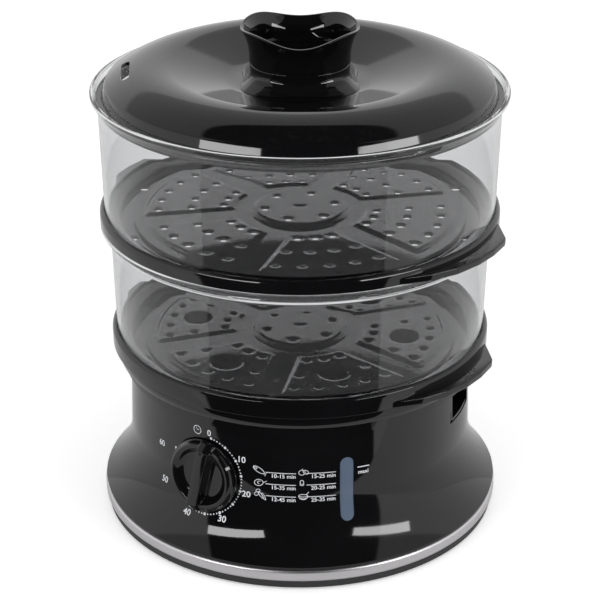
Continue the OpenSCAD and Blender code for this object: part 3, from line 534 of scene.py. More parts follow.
def clear_plastic(name, tint, rough):
    """Clear moulded plastic. Shadow rays pass, so that what is inside stays lit."""
    finish, tree, bsdf = shader(name)
    cloud = effect(tree, "cloud", Cloud_Scale=12.0, Grain_Scale=60.0)
    wiping = effect(tree, "wiping", Amount=0.5)
    tree.links.new(blend_colours(tree, cloud.outputs["Cloud"], tint,
                                 tuple(0.97 * c for c in tint)), bsdf.inputs["Base Color"])
    gloss = math_node(tree, "ADD", math_node(tree, "MULTIPLY", wiping.outputs["Marks"], 0.05), rough)
    tree.links.new(gloss, bsdf.inputs["Roughness"])
    bsdf.inputs["Transmission Weight"].default_value = 1.0
    bsdf.inputs["IOR"].default_value = 1.38
    emboss(tree, bsdf, cloud.outputs["Grain"], 0.06, 0.0004)
    path = tree.nodes.new("ShaderNodeLightPath")
    open_air = tree.nodes.new("ShaderNodeBsdfTransparent")
    open_air.inputs[0].default_value = (0.93, 0.94, 0.95, 1.0)
    mix = tree.nodes.new("ShaderNodeMixShader")
    out = tree.nodes["Material Output"]
    tree.links.new(path.outputs["Is Shadow Ray"], mix.inputs[0])
    tree.links.new(bsdf.outputs[0], mix.inputs[1])
    tree.links.new(open_air.outputs[0], mix.inputs[2])
    tree.links.new(mix.outputs[0], out.inputs["Surface"])
    return finish


def plain(name, base, other, rough, spread, grain, marks=0.1, dust=0.0, grain_scale=1400.0):
    """A moulded finish for inside, underside and printed parts: fewer marks, mostly no dust."""
    return moulded(name, base, other, rough, spread, grain, marks, dust, grain_scale)


def finish_table(tones):
    """For each material slot, how its finish is made: the maker, its name, colours and values."""
    black, window, trim, ink = (tuple(tones.black), tuple(tones.window), tuple(tones.trim),
                                tuple(tones.ink))
    sleeve = {"rough": 0.4, "spread": 0.1, "grain": 0.05}
    return {
        "black_gloss": (moulded, "gloss_black_plastic", black, tuple(c * 1.35 for c in black),
                        {"rough": 0.045, "spread": 0.025, "grain": 0.006, "marks": 0.12,
                         "dust": 0.012}),
        "black_soft": (moulded, "soft_black_plastic", (0.016, 0.016, 0.017), (0.022, 0.022, 0.023),
                       {"rough": 0.42, "spread": 0.12, "grain": 0.12, "grain_scale": 900.0}),
        "clear_bowl": (clear_plastic, "clear_bowl_plastic", tuple(tones.clear), {"rough": 0.015}),
        "window_tint": (moulded, "smoked_window", window, (0.10, 0.135, 0.195),
                        {"rough": 0.16, "spread": 0.08, "grain": 0.03, "dust": 0.0}),
        "silver_trim": (metal, "brushed_trim_metal", trim, (0.60, 0.59, 0.60),
                        {"rough": 0.30, "spread": 0.10, "lines": 0.10}),
        "screw_steel": (metal, "screw_steel", (0.62, 0.62, 0.60), (0.52, 0.52, 0.51),
                        {"rough": 0.25, "spread": 0.12, "lines": 0.05}),
        "foot_rubber": (plain, "foot_rubber", (0.02, 0.02, 0.02), (0.03, 0.03, 0.03),
                        {"rough": 0.72, "spread": 0.12, "grain": 0.3, "dust": 0.1,
                         "grain_scale": 700.0}),
        "seal_rubber": (plain, "seal_rubber", (0.10, 0.10, 0.10), (0.14, 0.14, 0.13),
                        {"rough": 0.6, "spread": 0.15, "grain": 0.2, "grain_scale": 700.0}),
        "heater_alloy": (metal, "heater_plate_metal", (0.66, 0.66, 0.65), (0.52, 0.52, 0.53),
                         {"rough": 0.34, "spread": 0.16, "lines": 0.12, "fineness": 2600.0}),
        "element_steel": (metal, "element_tube_steel", (0.48, 0.46, 0.43), (0.36, 0.33, 0.30),
                          {"rough": 0.34, "spread": 0.14, "lines": 0.05}),
        "case_resin": (plain, "case_resin", (0.66, 0.65, 0.60), (0.74, 0.73, 0.68),
                       {"rough": 0.4, "spread": 0.15, "grain": 0.1, "grain_scale": 900.0}),
        "wire_brown": (plain, "brown_wire_sleeve", (0.15, 0.06, 0.025), (0.20, 0.08, 0.03), sleeve),
        "wire_red": (plain, "red_wire_sleeve", (0.42, 0.03, 0.025), (0.5, 0.045, 0.03), sleeve),
        "wire_blue": (plain, "blue_wire_sleeve", (0.02, 0.09, 0.38), (0.03, 0.12, 0.45), sleeve),
        "wire_earth": (plain, "green_wire_sleeve", (0.06, 0.30, 0.04), (0.42, 0.40, 0.03), sleeve),
        "print": (plain, "print_ink", ink, (0.66, 0.67, 0.70),
                  {"rough": 0.45, "spread": 0.1, "grain": 0.05}),
    }


FINISHES = {}


def finish_for(slot):
    """The finish of a material slot, made once."""
    if slot not in FINISHES:
        maker, *words, values = finish_table(bpy.context.scene.steamer_finish)[slot]
        FINISHES[slot] = maker(*words, **values)
    return FINISHES[slot]


# ---------------------------------------------------------------- sizes and colours

class SteamerSizes(bpy.types.PropertyGroup):
    turn_steps: bpy.props.IntProperty(
        name="Turn steps", description="Faces round each turned piece", default=256, min=96,
        max=512)
    grid_mesh: bpy.props.FloatProperty(
        name="Grid mesh", description="Width of one face of the pressed grids", default=0.001,
        min=0.0006, max=0.003, unit="LENGTH", subtype="DISTANCE")
    print_lift: bpy.props.FloatProperty(
        name="Print lift", description="Height of the printed marks over the plastic",
        default=0.00006, min=0.00001, max=0.0003, unit="LENGTH", subtype="DISTANCE")
    edge_round: bpy.props.FloatProperty(
        name="Edge rounding", description="Radius of the moulded edges of rings and tabs",
        default=0.0009, min=0.0002, max=0.002, unit="LENGTH", subtype="DISTANCE")
    dot_size: bpy.props.FloatProperty(
        name="Dial dot", description="Radius of the bold dots of the dial", default=0.0009,
        min=0.0003, max=0.0012, unit="LENGTH", subtype="DISTANCE")


class SteamerFinish(bpy.types.PropertyGroup):
    black: bpy.props.FloatVectorProperty(
        name="Gloss black", description="Colour of the glossy black plastic",
        default=(0.0030, 0.0030, 0.0034), size=3, min=0.0, max=1.0, subtype="COLOR")
    clear: bpy.props.FloatVectorProperty(
        name="Clear bowl", description="Tint of the clear bowl walls",
        default=(0.93, 0.935, 0.945), size=3, min=0.0, max=1.0, subtype="COLOR")
    window: bpy.props.FloatVectorProperty(
        name="Level window", description="Colour of the water level window",
        default=(0.085, 0.115, 0.172), size=3, min=0.0, max=1.0, subtype="COLOR")
    trim: bpy.props.FloatVectorProperty(
        name="Trim metal", description="Colour of the silver ring round the foot",
        default=(0.66, 0.64, 0.66), size=3, min=0.0, max=1.0, subtype="COLOR")
    ink: bpy.props.FloatVectorProperty(
        name="Print", description="Colour of the printed dial and table",
        default=(0.74, 0.75, 0.78), size=3, min=0.0, max=1.0, subtype="COLOR")


class SteamerStudio(bpy.types.PropertyGroup):
    softbox_power: bpy.props.FloatProperty(
        name="Softbox power", description="Power of a softbox of the reference area", default=7.4,
        min=0.0, max=60.0, unit="POWER")
    softbox_away: bpy.props.FloatProperty(
        name="Softbox distance", description="Distance of the softboxes from the steamer",
        default=1.3, min=0.6, max=4.0, unit="LENGTH", subtype="DISTANCE")
    room_light: bpy.props.FloatProperty(
        name="Room light", description="Strength of the room's even light", default=0.78,
        min=0.0, max=2.0, subtype="FACTOR")
    lens: bpy.props.FloatProperty(
        name="Lens", description="Focal length in millimetres", default=114.5, min=20.0,
        max=300.0)


# ---------------------------------------------------------------- lid and handle

def lid_height(r):
    """Level of the lid's outer face: the dished middle, the rise to the crown and the fall."""
    if r > CROWN_R:
        return EDGE_Z + (CROWN_Z - EDGE_Z) * (1 - ((r - CROWN_R) / (DOME_R - CROWN_R)) ** 2)
    if r <= PAD_R:
        return PAD_Z
    t = (r - PAD_R) / (CROWN_R - PAD_R)
    if t < DISH_SOFT:
        rise = t * t / (2 * DISH_SOFT)
    elif t > 1 - DISH_SOFT:
        rise = 1 - DISH_SOFT - (1 - t) * (1 - t) / (2 * DISH_SOFT)
    else:
        rise = t - DISH_SOFT / 2
    return PAD_Z + (CROWN_Z - PAD_Z) * rise / (1 - DISH_SOFT)


def lid_slope(r, z):
    """Outward slope of the lid's outer face, or None off that face."""
    if r > DOME_R + 0.02 or abs(z - lid_height(r)) > 0.15:
        return None
    slope = (lid_height(r + 0.05) - lid_height(r - 0.05)) / 0.1
    length = math.hypot(slope, 1)
    return -slope / length, 1 / length


def vent_outline():
    """The long steam slot, seen from above."""
    c, s = math.cos(math.radians(VENT_AZ)), math.sin(math.radians(VENT_AZ))
    corners = [(sx * VENT_HALF_W, sy * VENT_HALF_L, VENT_ROUND)
               for sx, sy in ((-1, -1), (1, -1), (1, 1), (-1, 1))]
    return [(VENT_AT * c + x * c - y * s, VENT_AT * s + x * s + y * c) for x, y in fillet(corners)]


def make_lid(steps):
    top = [(r, lid_height(r)) for r in np.linspace(PAD_R, DOME_R, 70)]
    edge = [(DOME_R + r, EDGE_Z - z) for r, z in SHOULDER]
    band_r, band_z = edge[-1]
    edge += [(band_r + BAND_W * t, band_z - BAND_H * t) for t in np.linspace(0, 1, 9)[1:]]
    lip_z = LID_Z - LIP_DROP
    flange = fillet([(edge[-1][0], FLANGE_Z + 0.01, 0), (FLANGE_R, FLANGE_Z, 0.6),
                     (FLANGE_R, LID_Z, 0.5), (LIP_R, LID_Z, 0.3), (LIP_R, lip_z, 0.6),
                     (LIP_R - LID_T, lip_z, 0.6), (LIP_R - LID_T, FLANGE_Z - 0.4, 0.8),
                     (DOME_R - LID_T - 0.9, EDGE_Z - 1, 1.2),
                     (LID_INNER_R, lid_height(LID_INNER_R) - LID_T, 0)], closed=False)
    under = [(r, lid_height(r) - LID_T) for r in np.linspace(LID_INNER_R - 1, PAD_R, 40)]
    outline = [(0, PAD_Z)] + top + edge + flange[1:] + under + [(0, PAD_Z - LID_T)]
    lid = put("lid_dome_shell", *disc_lathe(outline, steps), sharp=28)
    carve(lid, put("cutter", *prism(vent_outline(), LID_Z - 2, CROWN_Z + 8)), sharp=28)
    turned_normals(lid.data, lid_slope)
    return lid


def lobe(size, power, dent, a):
    """Radius of a rounded square with dented sides, at an angle."""
    size = size * (1 + dent * (1 - math.cos(4 * a)) / 2)
    return size / (abs(math.cos(a)) ** power + abs(math.sin(a)) ** power) ** (1 / power)


def rim_wave(a):
    """Rise of the cup's wavy rim, at an angle."""
    return HANDLE_WAVE * (0.65 * (1 - math.cos(4 * a)) / 2 + 0.7 * (1 + math.cos(2 * a)) / 2)


def lobed_ring(size, power, dent, z, points, wave=0.0):
    """A ring of the rounded square, level or with a share of the rim's wave."""
    ring = []
    for i in range(points):
        a = TURN * i / points
        r = lobe(size, power, dent, a)
        ring.append((r * math.cos(a), r * math.sin(a), z + wave * rim_wave(a)))
    return ring


def make_handle_base(points=240):
    """The foot, which draws in from the dish to the waist. The lists run from foot to waist."""
    at = [0, 0.055, 0.12, 0.22, 0.36, 0.55, 0.8, 1]
    drawn_in = [0, 0.02, 0.3, 0.62, 0.86, 0.97, 1, 1]
    dent = [1, 1, 0.95, 0.8, 0.5, 0.2, 0.05, 0]
    power = [3.6, 3.5, 3.3, 3.0, 2.6, 2.35, 2.3, 2.3]
    seam_from, seam_groove = 0.95, 0.55
    rings = [lobed_ring(HANDLE_FOOT - 0.5, power[0], HANDLE_DENT, PAD_Z, points)]
    for u in list(np.linspace(0.02, seam_from, 40)) + [0.97, 0.985, 0.995, 1.0]:
        size = HANDLE_FOOT + (HANDLE_WAIST - HANDLE_FOOT) * float(through(at, drawn_in, u))
        size -= seam_groove * max(0.0, (u - seam_from) / 0.05) ** 2
        rings.append(lobed_ring(size, float(through(at, power, u)),
                                HANDLE_DENT * float(through(at, dent, u)),
                                PAD_Z + (HANDLE_SEAM_Z - PAD_Z) * u, points))
    return put("handle_foot", *skin(rings), sharp=50)


def make_handle_cup(points=240):
    """The cup, which flares to a wavy rim and is hollow down to a flat floor."""
    at = [0, 0.25, 0.5, 0.7, 0.85, 0.94, 0.985]
    flare = [0, 0.05, 0.2, 0.42, 0.7, 0.9, 1]
    power = [2.3, 2.3, 2.25, 2.2, 2.15, 2.1, 2.05]
    wall, lip, seam_to = 2, 0.015, 0.045
    rings = []

    def ring(size, p, u):
        rings.append(lobed_ring(size, p, 0, HANDLE_SEAM_Z + HANDLE_CUP_H * u, points, u))

    def flared(u):
        return HANDLE_WAIST + (HANDLE_RIM - HANDLE_WAIST) * float(through(at, flare, u))

    for u in [0.0, 0.006, 0.015, 0.03] + list(np.linspace(seam_to, at[-1], 34)):
        if u < seam_to:
            swell = 0.25 - 0.5 * max(0.0, 1 - u / 0.03) ** 2
        else:
            swell = 0.25 * max(0, 1 - (u - seam_to) / 0.3)
        ring(flared(u) + swell, float(through(at, power, u)), u)
    for j in range(1, 9):
        b = math.pi * j / 9
        ring(HANDLE_RIM - wall / 2 * (1 - math.cos(b)), power[-1], at[-1] + lip * math.sin(b))
    for u in np.linspace(at[-1], 0.42, 24):
        ring(flared(u) - wall, float(through(at, power, u)), u)
    for inset, z in ((2.3, 5.6), (2.7, 4.6), (3.4, 3.6), (4.6, 3.1), (6.5, 3.0)):
        rings.append(lobed_ring(HANDLE_WAIST - inset, 2.7, 0, HANDLE_SEAM_Z + z, points))
    return put("handle_cup", *skin(rings), sharp=50)


# ---------------------------------------------------------------- bowls and grids

def ear(ring_r, z0, turn, edge):
    """A lifting tab on a bowl's ring. Its corners are (degrees, reach, radius)."""
    def at(az, reach):
        a = math.radians(EAR_AZ + az + turn)
        return (ring_r + reach) * math.cos(a), (ring_r + reach) * math.sin(a)

    corners = [(26, -3, 0), (25, 0, 1.5), (15.5, 9.4, 5), (14, 10, 2.5), (7, 9.9, 8), (0, 9.4, 10),
               (-8, 8.2, 14), (-16, 5.2, 16), (-25, 0, 8), (-27, -3, 0), (-12, -6, 0), (12, -6, 0)]
    outline = fillet([(*at(az, reach), rad) for az, reach, rad in corners])
    return pillar(outline, z0, z0 + EAR_T, edge)


def make_bowl_ring(name, bowl, steps, edge):
    """A bowl's black ring with the wall's groove, a grid ledge, a spigot below and two ears."""
    ring_r, z0, spigot = bowl["ring"], bowl["z"], bowl["spigot"]
    groove_out = ring_r - WALL_IN + 0.05
    groove_in = groove_out - 2.3
    top, ledge, low = z0 + bowl["h"], z0 - 0.2, z0 - 5.3
    under = ledge - 2.2
    outline = fillet([
        (ring_r, z0, 0.5), (ring_r, top - 2.6, 1.5), (ring_r - 0.5, top - 1.1, 1.2),
        (ring_r - 1.6, top - 0.1, 0.8), (ring_r - 2.4, top, 0.2), (groove_out, top - 0.5, 0.1),
        (groove_out, z0 + 2.8, 0), (groove_in, z0 + 2.8, 0), (groove_in, top - 1.7, 0.5),
        (ring_r - 11.7, top - 3.9, 1.2), (ring_r - 12.5, top - 4.5, 1.0),
        (ring_r - 12.5, ledge, 0.4), (ring_r - 24, ledge, 0.5), (ring_r - 24, under, 0.5),
        (spigot - 2.2, under, 0.6), (spigot - 2.2, low, 0.6), (spigot, low, 0.6),
        (spigot, z0, 0.3)])
    ring = put(name, *lathe(outline, steps), sharp=40)
    drain_r = ring_r - DRAIN_IN
    places = [(drain_r * math.cos(math.radians(az)), drain_r * math.sin(math.radians(az)))
              for az in DRAIN_AZ]
    carve(ring, rods(places, DRAIN_R, ledge - 3.2, ledge + 1.0), sharp=40)
    ears = put(name + "_ears", *joined(ear(ring_r, z0, 0, edge), ear(ring_r, z0, 180, edge)),
               sharp=50)
    return ring, ears


def make_bowl_wall(name, bowl, steps):
    """A clear wall with a stepped rim, in short faces so that it refracts evenly."""
    ring_r, z0, rim, top = bowl["ring"], bowl["z"], bowl["rim"], bowl["top"]
    out = ring_r - WALL_IN
    inside = out - WALL_T
    h = z0 + bowl["h"]
    outline = fillet([
        (inside, z0 + WALL_FOOT, 0.3), (out, z0 + WALL_FOOT, 0.3), (out, h, 12),
        (out + 1.5, top - 8.2, 3), (rim - 0.5, top - 3, 1.0), (rim, top - 2.3, 0.6),
        (rim, top - 0.7, 0.6), (rim - 0.7, top, 0.6), (rim - 2.4, top, 0.5),
        (rim - 2.8, top - 0.4, 0.4), (rim - 2.8, top - 5.7, 0.5), (inside + 1.5, top - 5.7, 0.9),
        (inside, h, 12)])
    dense = []
    for i, (r, z) in enumerate(outline):
        r2, z2 = outline[(i + 1) % len(outline)]
        n = max(1, int(math.hypot(r2 - r, z2 - z) / 6))
        dense += [(r + (r2 - r) * k / n, z + (z2 - z) * k / n) for k in range(n)]
    return put(name, *lathe(dense, steps), sharp=50)


def grid_holes(rim_r, az, eggs):
    """The punched holes as (x, y, slot x, slot y, radius): rows on each of six panels, a ring
    round the middle, a short slot in it and, on one grid, an egg cup in each panel."""
    holes = []

    def punch(radius, degrees, size):
        a = math.radians(degrees)
        holes.append((radius * math.cos(a), radius * math.sin(a), 0, 0, size))

    rows = ((47.7, 3, 13.0), (EGG_ROW_R, 4, 12.2), (rim_r - 15, 5, 10.2))
    for k in range(6):
        for radius, count, pitch in rows:
            for i in range(count):
                if not (eggs and radius == EGG_ROW_R and i in (1, 2)):
                    punch(radius, 60 * k + pitch * (i - (count - 1) / 2), HOLE_R)
        punch(DISC_HOLES_R, 60 * k + 30, HOLE_R)
        if eggs:
            punch(EGG_ROW_R, 60 * k, EGG_R)
    a = math.radians(-az)
    holes.append((0, 0, SLOT_HALF * math.cos(a), SLOT_HALF * math.sin(a), SLOT_R))
    return holes


def hole_gap(px, py, hole):
    """How far points lie outside a hole's edge, and their offsets from its middle line."""
    cx, cy, hx, hy, r = hole
    dx, dy = px - cx, py - cy
    if hx or hy:
        t = np.clip((dx * hx + dy * hy) / (hx * hx + hy * hy), -1, 1)
        dx, dy = dx - t * hx, dy - t * hy
    return np.hypot(dx, dy) - r, dx, dy


def pressed_height(x, y, rim_r, near):
    """Height of the pressed sheet: six panels, the middle disc, and edges drawn down at holes."""
    rho = np.hypot(x, y)
    phi = np.degrees(np.arctan2(y, x))
    local = np.radians(phi - 60 * np.round(phi / 60))
    along, across = rho * np.cos(local), rho * np.sin(local)
    edge = np.minimum(np.minimum(rim_r - PANEL_RIM - rho, rho - PANEL_IN_R),
                      (along - RIB_HALF) * 0.5 - np.abs(across) * math.cos(math.pi / 6))
    height = PANEL_RISE * ramp((edge + 0.5) / 1.9) + DISC_RISE * ramp((DISC_R - rho) / 2.2)
    height -= 0.3 * np.exp(-(near / 0.8) ** 2)
    return height


def make_grid(name, rim_r, z0, az, eggs, step):
    """A pressed sheet grid: raised panels round a raised disc, with punched holes."""
    half = int(rim_r / step) + 2
    axis = np.arange(-half, half + 1) * step
    x, y = np.meshgrid(axis, axis, indexing="ij")
    x, y = x.ravel().copy(), y.ravel().copy()
    n = len(axis)
    holes = grid_holes(rim_r, az, eggs)

    # the square cells that lie on the sheet, and the border left round them
    cells = np.arange(n * n).reshape(n, n)
    quads = np.stack([cells[:-1, :-1], cells[1:, :-1], cells[1:, 1:], cells[:-1, 1:]],
                     -1).reshape(-1, 4)
    mx, my = x[quads].mean(1), y[quads].mean(1)
    keep = np.hypot(mx, my) < rim_r - 0.1 * step
    for hole in holes:
        keep &= hole_gap(mx, my, hole)[0] > 0
    quads = quads[keep]
    edges = {(q[i], q[(i + 1) % 4]): True for q in quads for i in range(4)}
    border = [e for e in edges if (e[1], e[0]) not in edges]

    # border points move onto the rim and onto the holes' edges
    rim = np.zeros(n * n, bool)
    rim[[e[0] for e in border]] = True
    rho = np.hypot(x, y)
    pull = rim & (rho > rim_r - 2 * step)
    x[pull] *= rim_r / rho[pull]
    y[pull] *= rim_r / rho[pull]
    near = np.full(n * n, 99.0)
    for hole in holes:
        d, dx, dy = hole_gap(x, y, hole)
        near = np.minimum(near, np.abs(d))
        snap = rim & ~pull & (np.abs(d) < 1.6 * step)
        length = np.hypot(dx, dy)[snap]
        x[snap] -= dx[snap] / length * d[snap]
        y[snap] -= dy[snap] / length * d[snap]
        near[snap] = 0

    height = pressed_height(x, y, rim_r, near)
    c, s = math.cos(math.radians(az)), math.sin(math.radians(az))
    wx, wy = x * c - y * s, x * s + y * c
    used = np.unique(quads)
    index = np.full(n * n, -1)
    index[used] = np.arange(len(used))
    top = [(wx[i], wy[i], z0 + SHEET_T + height[i]) for i in used]
    under = [(wx[i], wy[i], z0 + max(0.0, height[i])) for i in used]
    m = len(used)
    faces = [tuple(index[q]) for q in quads]
    faces += [tuple(int(index[i]) + m for i in reversed(q)) for q in quads]
    faces += [(index[b], index[a], index[a] + m, index[b] + m) for a, b in border]
    return put(name, top + under, [tuple(int(i) for i in f) for f in faces], sharp=60, fix=False)


# ---------------------------------------------------------------- base

def flare_r(z):
    """Radius of the housing's outer face: a skirt, a curved flare and a nearly upright body."""
    if z >= FLARE_TOP:
        return BODY_R - (BODY_R - BODY_TOP_R) * min(1.0, (z - FLARE_TOP) / (BODY_TOP_Z - FLARE_TOP))
    if z < SKIRT_Z:
        return SKIRT_R
    return BODY_R + (SKIRT_R - BODY_R) * ((FLARE_TOP - z) / (FLARE_TOP - SKIRT_Z)) ** 2


def flare_slope(z):
    """How fast the flare widens downwards."""
    return 2 * (SKIRT_R - BODY_R) * (FLARE_TOP - z) / (FLARE_TOP - SKIRT_Z) ** 2


def body_slope(r, z):
    """Outward slope of the housing's outer face, or None off that face."""
    if z < SKIRT_Z - 0.01 or z > BODY_TOP_Z + 0.01 or abs(r - flare_r(z)) > 0.35:
        return None
    if z < FLARE_TOP:
        slope = -flare_slope(z)
    else:
        slope = (BODY_TOP_R - BODY_R) / (BODY_TOP_Z - FLARE_TOP)
        slope *= float(ramp((z - FLARE_TOP) / 12))
    length = math.hypot(slope, 1)
    return 1 / length, -slope / length


def timer_matrix():
    """The dial's own frame: +X to the zero mark, +Z out of the housing."""
    return (Matrix.Rotation(math.radians(KNOB_AZ), 4, "Z")
            @ Matrix.Translation((KNOB_REACH, 0, KNOB_Z))
            @ Matrix.Rotation(math.radians(90 - KNOB_LEAN), 4, "Y")
            @ Matrix.Rotation(math.radians(180 - KNOB_ZERO), 4, "Z"))


def knob_height(x, y):
    """Height of the knob's front: a rounded rim, two scoops and a grip bar with a mark in it."""
    rho = np.hypot(x, y)
    scoop = 1.0 + 4.0 * ramp((rho - 12.0) / 7.4) ** 2.2
    rim = np.where(rho > 20.2, 5.0 - 3.6 * ramp((rho - 20.2) / 3.2) ** 1.3, 5.0)
    base = np.where(rho < SCOOP_R, scoop, rim)
    along = np.clip((x + KNOB_R) / (2 * KNOB_R), 0, 1)
    half_wide = 4.0 + 0.9 * along ** 2
    bar = np.minimum(GRIP_TOP, (29.2 - rho) * 0.79)
    bar = bar - 0.5 * (np.abs(y) / 4.25) ** 2
    side = ramp((half_wide + 0.6 - np.abs(y)) / 1.5)
    mark = np.hypot((x - GRIP_MARK) / 1.3, y / 1.3)
    bar = bar - 0.45 * ramp((1.0 - mark) / 0.5)
    return base + np.maximum(0, bar - base) * side


def make_knob(rings=110, points=420):
    """Round knob with a grip bar between two hollow scoops, turned into the dial's place."""
    to_housing = timer_matrix()
    verts = []
    radii = list(np.linspace(0.0, KNOB_R - 0.3, rings)[1:]) + [23.25, 23.35, KNOB_R]
    angles = np.arange(points) * TURN / points
    for r in radii:
        x, y = r * np.cos(angles), r * np.sin(angles)
        verts += list(zip(x, y, knob_height(x, y)))
    skirt = ((KNOB_R, 0.6), (KNOB_R, -3.8), (KNOB_R - 0.4, -4.2), (KNOB_R - 2.0, -4.2),
             (KNOB_R - 2.0, -2.0), (6.0, -2.0), (6.0, -4.2), (3.2, -4.2))
    for r, z in skirt:
        verts += [(r * math.cos(a), r * math.sin(a), z) for a in angles]
    count = len(radii) + len(skirt)
    faces = []
    for k in range(count - 1):
        for i in range(points):
            j = (i + 1) % points
            faces.append((k * points + i, k * points + points + i, k * points + points + j,
                          k * points + j))
    verts.append((0, 0, float(knob_height(np.array([0.0]), np.array([0.0]))[0])))
    top = len(verts) - 1
    faces += [(top, i, (i + 1) % points) for i in range(points)]
    faces.append(tuple((count - 1) * points + i for i in range(points)))
    verts = [tuple(to_housing @ Vector(v)) for v in verts]
    return put("timer_knob_grip", verts, faces, sharp=60)


def make_trim(steps):
    outline = fillet([(124.2, 6.25, 0.2), (127.1, 6.25, 0.9), (128.0, 7.6, 1.4), (128.0, 12.6, 1.4),
                      (127.2, 13.95, 0.9), (124.2, 13.95, 0.2)])
    return put("trim_band", *lathe(outline, steps), sharp=45)


# ---------------------------------------------------------------- prints

def on_body(az, z, lift):
    r = flare_r(z) + lift
    a = math.radians(az)
    return r * math.cos(a), r * math.sin(a), z


def wrap(points, az, z, lift):
    """Lay flat (right, up) points in millimetres on the body round a place."""
    out = []
    for u, v in points:
        zz = z + v
        if zz < FLARE_TOP:
            zz = z + v / math.hypot(1, flare_slope(zz))
        out.append(on_body(az + math.degrees(u / flare_r(zz)), zz, lift))
    return out


class Sheet:
    """Thin printed marks on the body, gathered as one mesh."""

    def __init__(self, lift):
        self.lift, self.verts, self.faces = lift, [], []

    def add(self, points, faces, az, z):
        n = len(self.verts)
        self.verts += wrap(points, az, z, self.lift)
        self.faces += [tuple(i + n for i in f) for f in faces]

    def strip(self, line, width, az, z):
        """A band along a line of points."""
        pts = [np.array(p, float) for p in line]
        left, right = [], []
        for i, p in enumerate(pts):
            a, b = pts[max(0, i - 1)], pts[min(len(pts) - 1, i + 1)]
            d = (b - a) / max(1e-6, np.linalg.norm(b - a))
            side = np.array([-d[1], d[0]]) * width / 2
            left.append(tuple(p + side))
            right.append(tuple(p - side))
        n = len(pts)
        self.add(left + right, [(n + i, n + i + 1, i + 1, i) for i in range(n - 1)], az, z)

    def dot(self, radius, az, z, sides=14):
        """A filled round dot."""
        self.add(circle(radius, sides), [tuple(range(sides))], az, z)

    def loop(self, rx, ry, width, az, z, cx=0.0, cy=0.0, tilt=0.0, start=0.0, end=1.0):
        """A thin ellipse, or the part of it from start to end, in turns."""
        c, s = math.cos(tilt), math.sin(tilt)
        pts = []
        for i in range(25):
            t = TURN * (start + (end - start) * i / 24)
            a, b = rx * math.cos(t), ry * math.sin(t)
            pts.append((cx + a * c - b * s, cy + a * s + b * c))
        self.strip(pts, width, az, z)

    def words(self, text, size, az, z, align="CENTER", bold=0.0):
        """Lettering in the built-in font, as flat faces."""
        curve = bpy.data.curves.new("words", "FONT")
        curve.body = text
        curve.size = size
        curve.align_x = align
        curve.align_y = "CENTER"
        curve.offset = bold
        curve.resolution_u = 4
        obj = bpy.data.objects.new("words", curve)
        bpy.context.scene.collection.objects.link(obj)
        dg = bpy.context.evaluated_depsgraph_get()
        mesh = bpy.data.meshes.new_from_object(obj.evaluated_get(dg))
        points = [(v.co.x, v.co.y) for v in mesh.vertices]
        faces = [tuple(p.vertices) for p in mesh.polygons]
        bpy.data.objects.remove(obj)
        bpy.data.curves.remove(curve)
        bpy.data.meshes.remove(mesh)
        self.add(points, faces, az, z)

    def build(self, name):
        obj = put(name, self.verts, self.faces, sharp=60, fix=False)
        bm = bmesh.new()
        bm.from_mesh(obj.data)
        for face in bm.faces:
            out = Vector((face.calc_center_median().x, face.calc_center_median().y, 0))
            if face.normal.dot(out) < 0:
                face.normal_flip()
        bm.to_mesh(obj.data)
        bm.free()
        return obj


class Icons:
    """Small line drawings on a sheet, at one scale and line width."""

    def __init__(self, sheet, scale, width):
        self.sheet, self.scale, self.width = sheet, scale, width
        self.az, self.z = 0.0, 0.0

    def at(self, az, z):
        self.az, self.z = az, z

    def strip(self, *line):
        self.sheet.strip([(x * self.scale, y * self.scale) for x, y in line], self.width,
                         self.az, self.z)

    def loop(self, rx, ry, cx=0.0, cy=0.0, tilt=0.0, start=0.0, end=1.0):
        k = self.scale
        self.sheet.loop(rx * k, ry * k, self.width, self.az, self.z, cx * k, cy * k, tilt, start,
                        end)


def make_dial(lift, bold):
    """The minute dots round the knob, their numbers and a small clock over the zero."""
    sheet = Sheet(lift)
    place = timer_matrix()
    for minute in range(61):
        a = -math.radians(MINUTE_TURN * minute)
        p = place @ Vector((DIAL_R * math.cos(a), DIAL_R * math.sin(a), 0))
        az = math.degrees(math.atan2(p.y, p.x))
        sheet.dot(bold if minute % 5 == 0 else bold * 0.52, az, p.z)
    for minute, az, z in DIAL_NUMBERS:
        sheet.words(str(minute), 5.6, az, z, bold=0.10)
    sheet.loop(2.7, 2.7, 0.42, CLOCK_AZ, CLOCK_Z)
    sheet.strip([(-0.9, 1.5), (0.1, 0.0), (1.4, 0.5)], 0.4, CLOCK_AZ, CLOCK_Z)
    return sheet.build("dial_print")


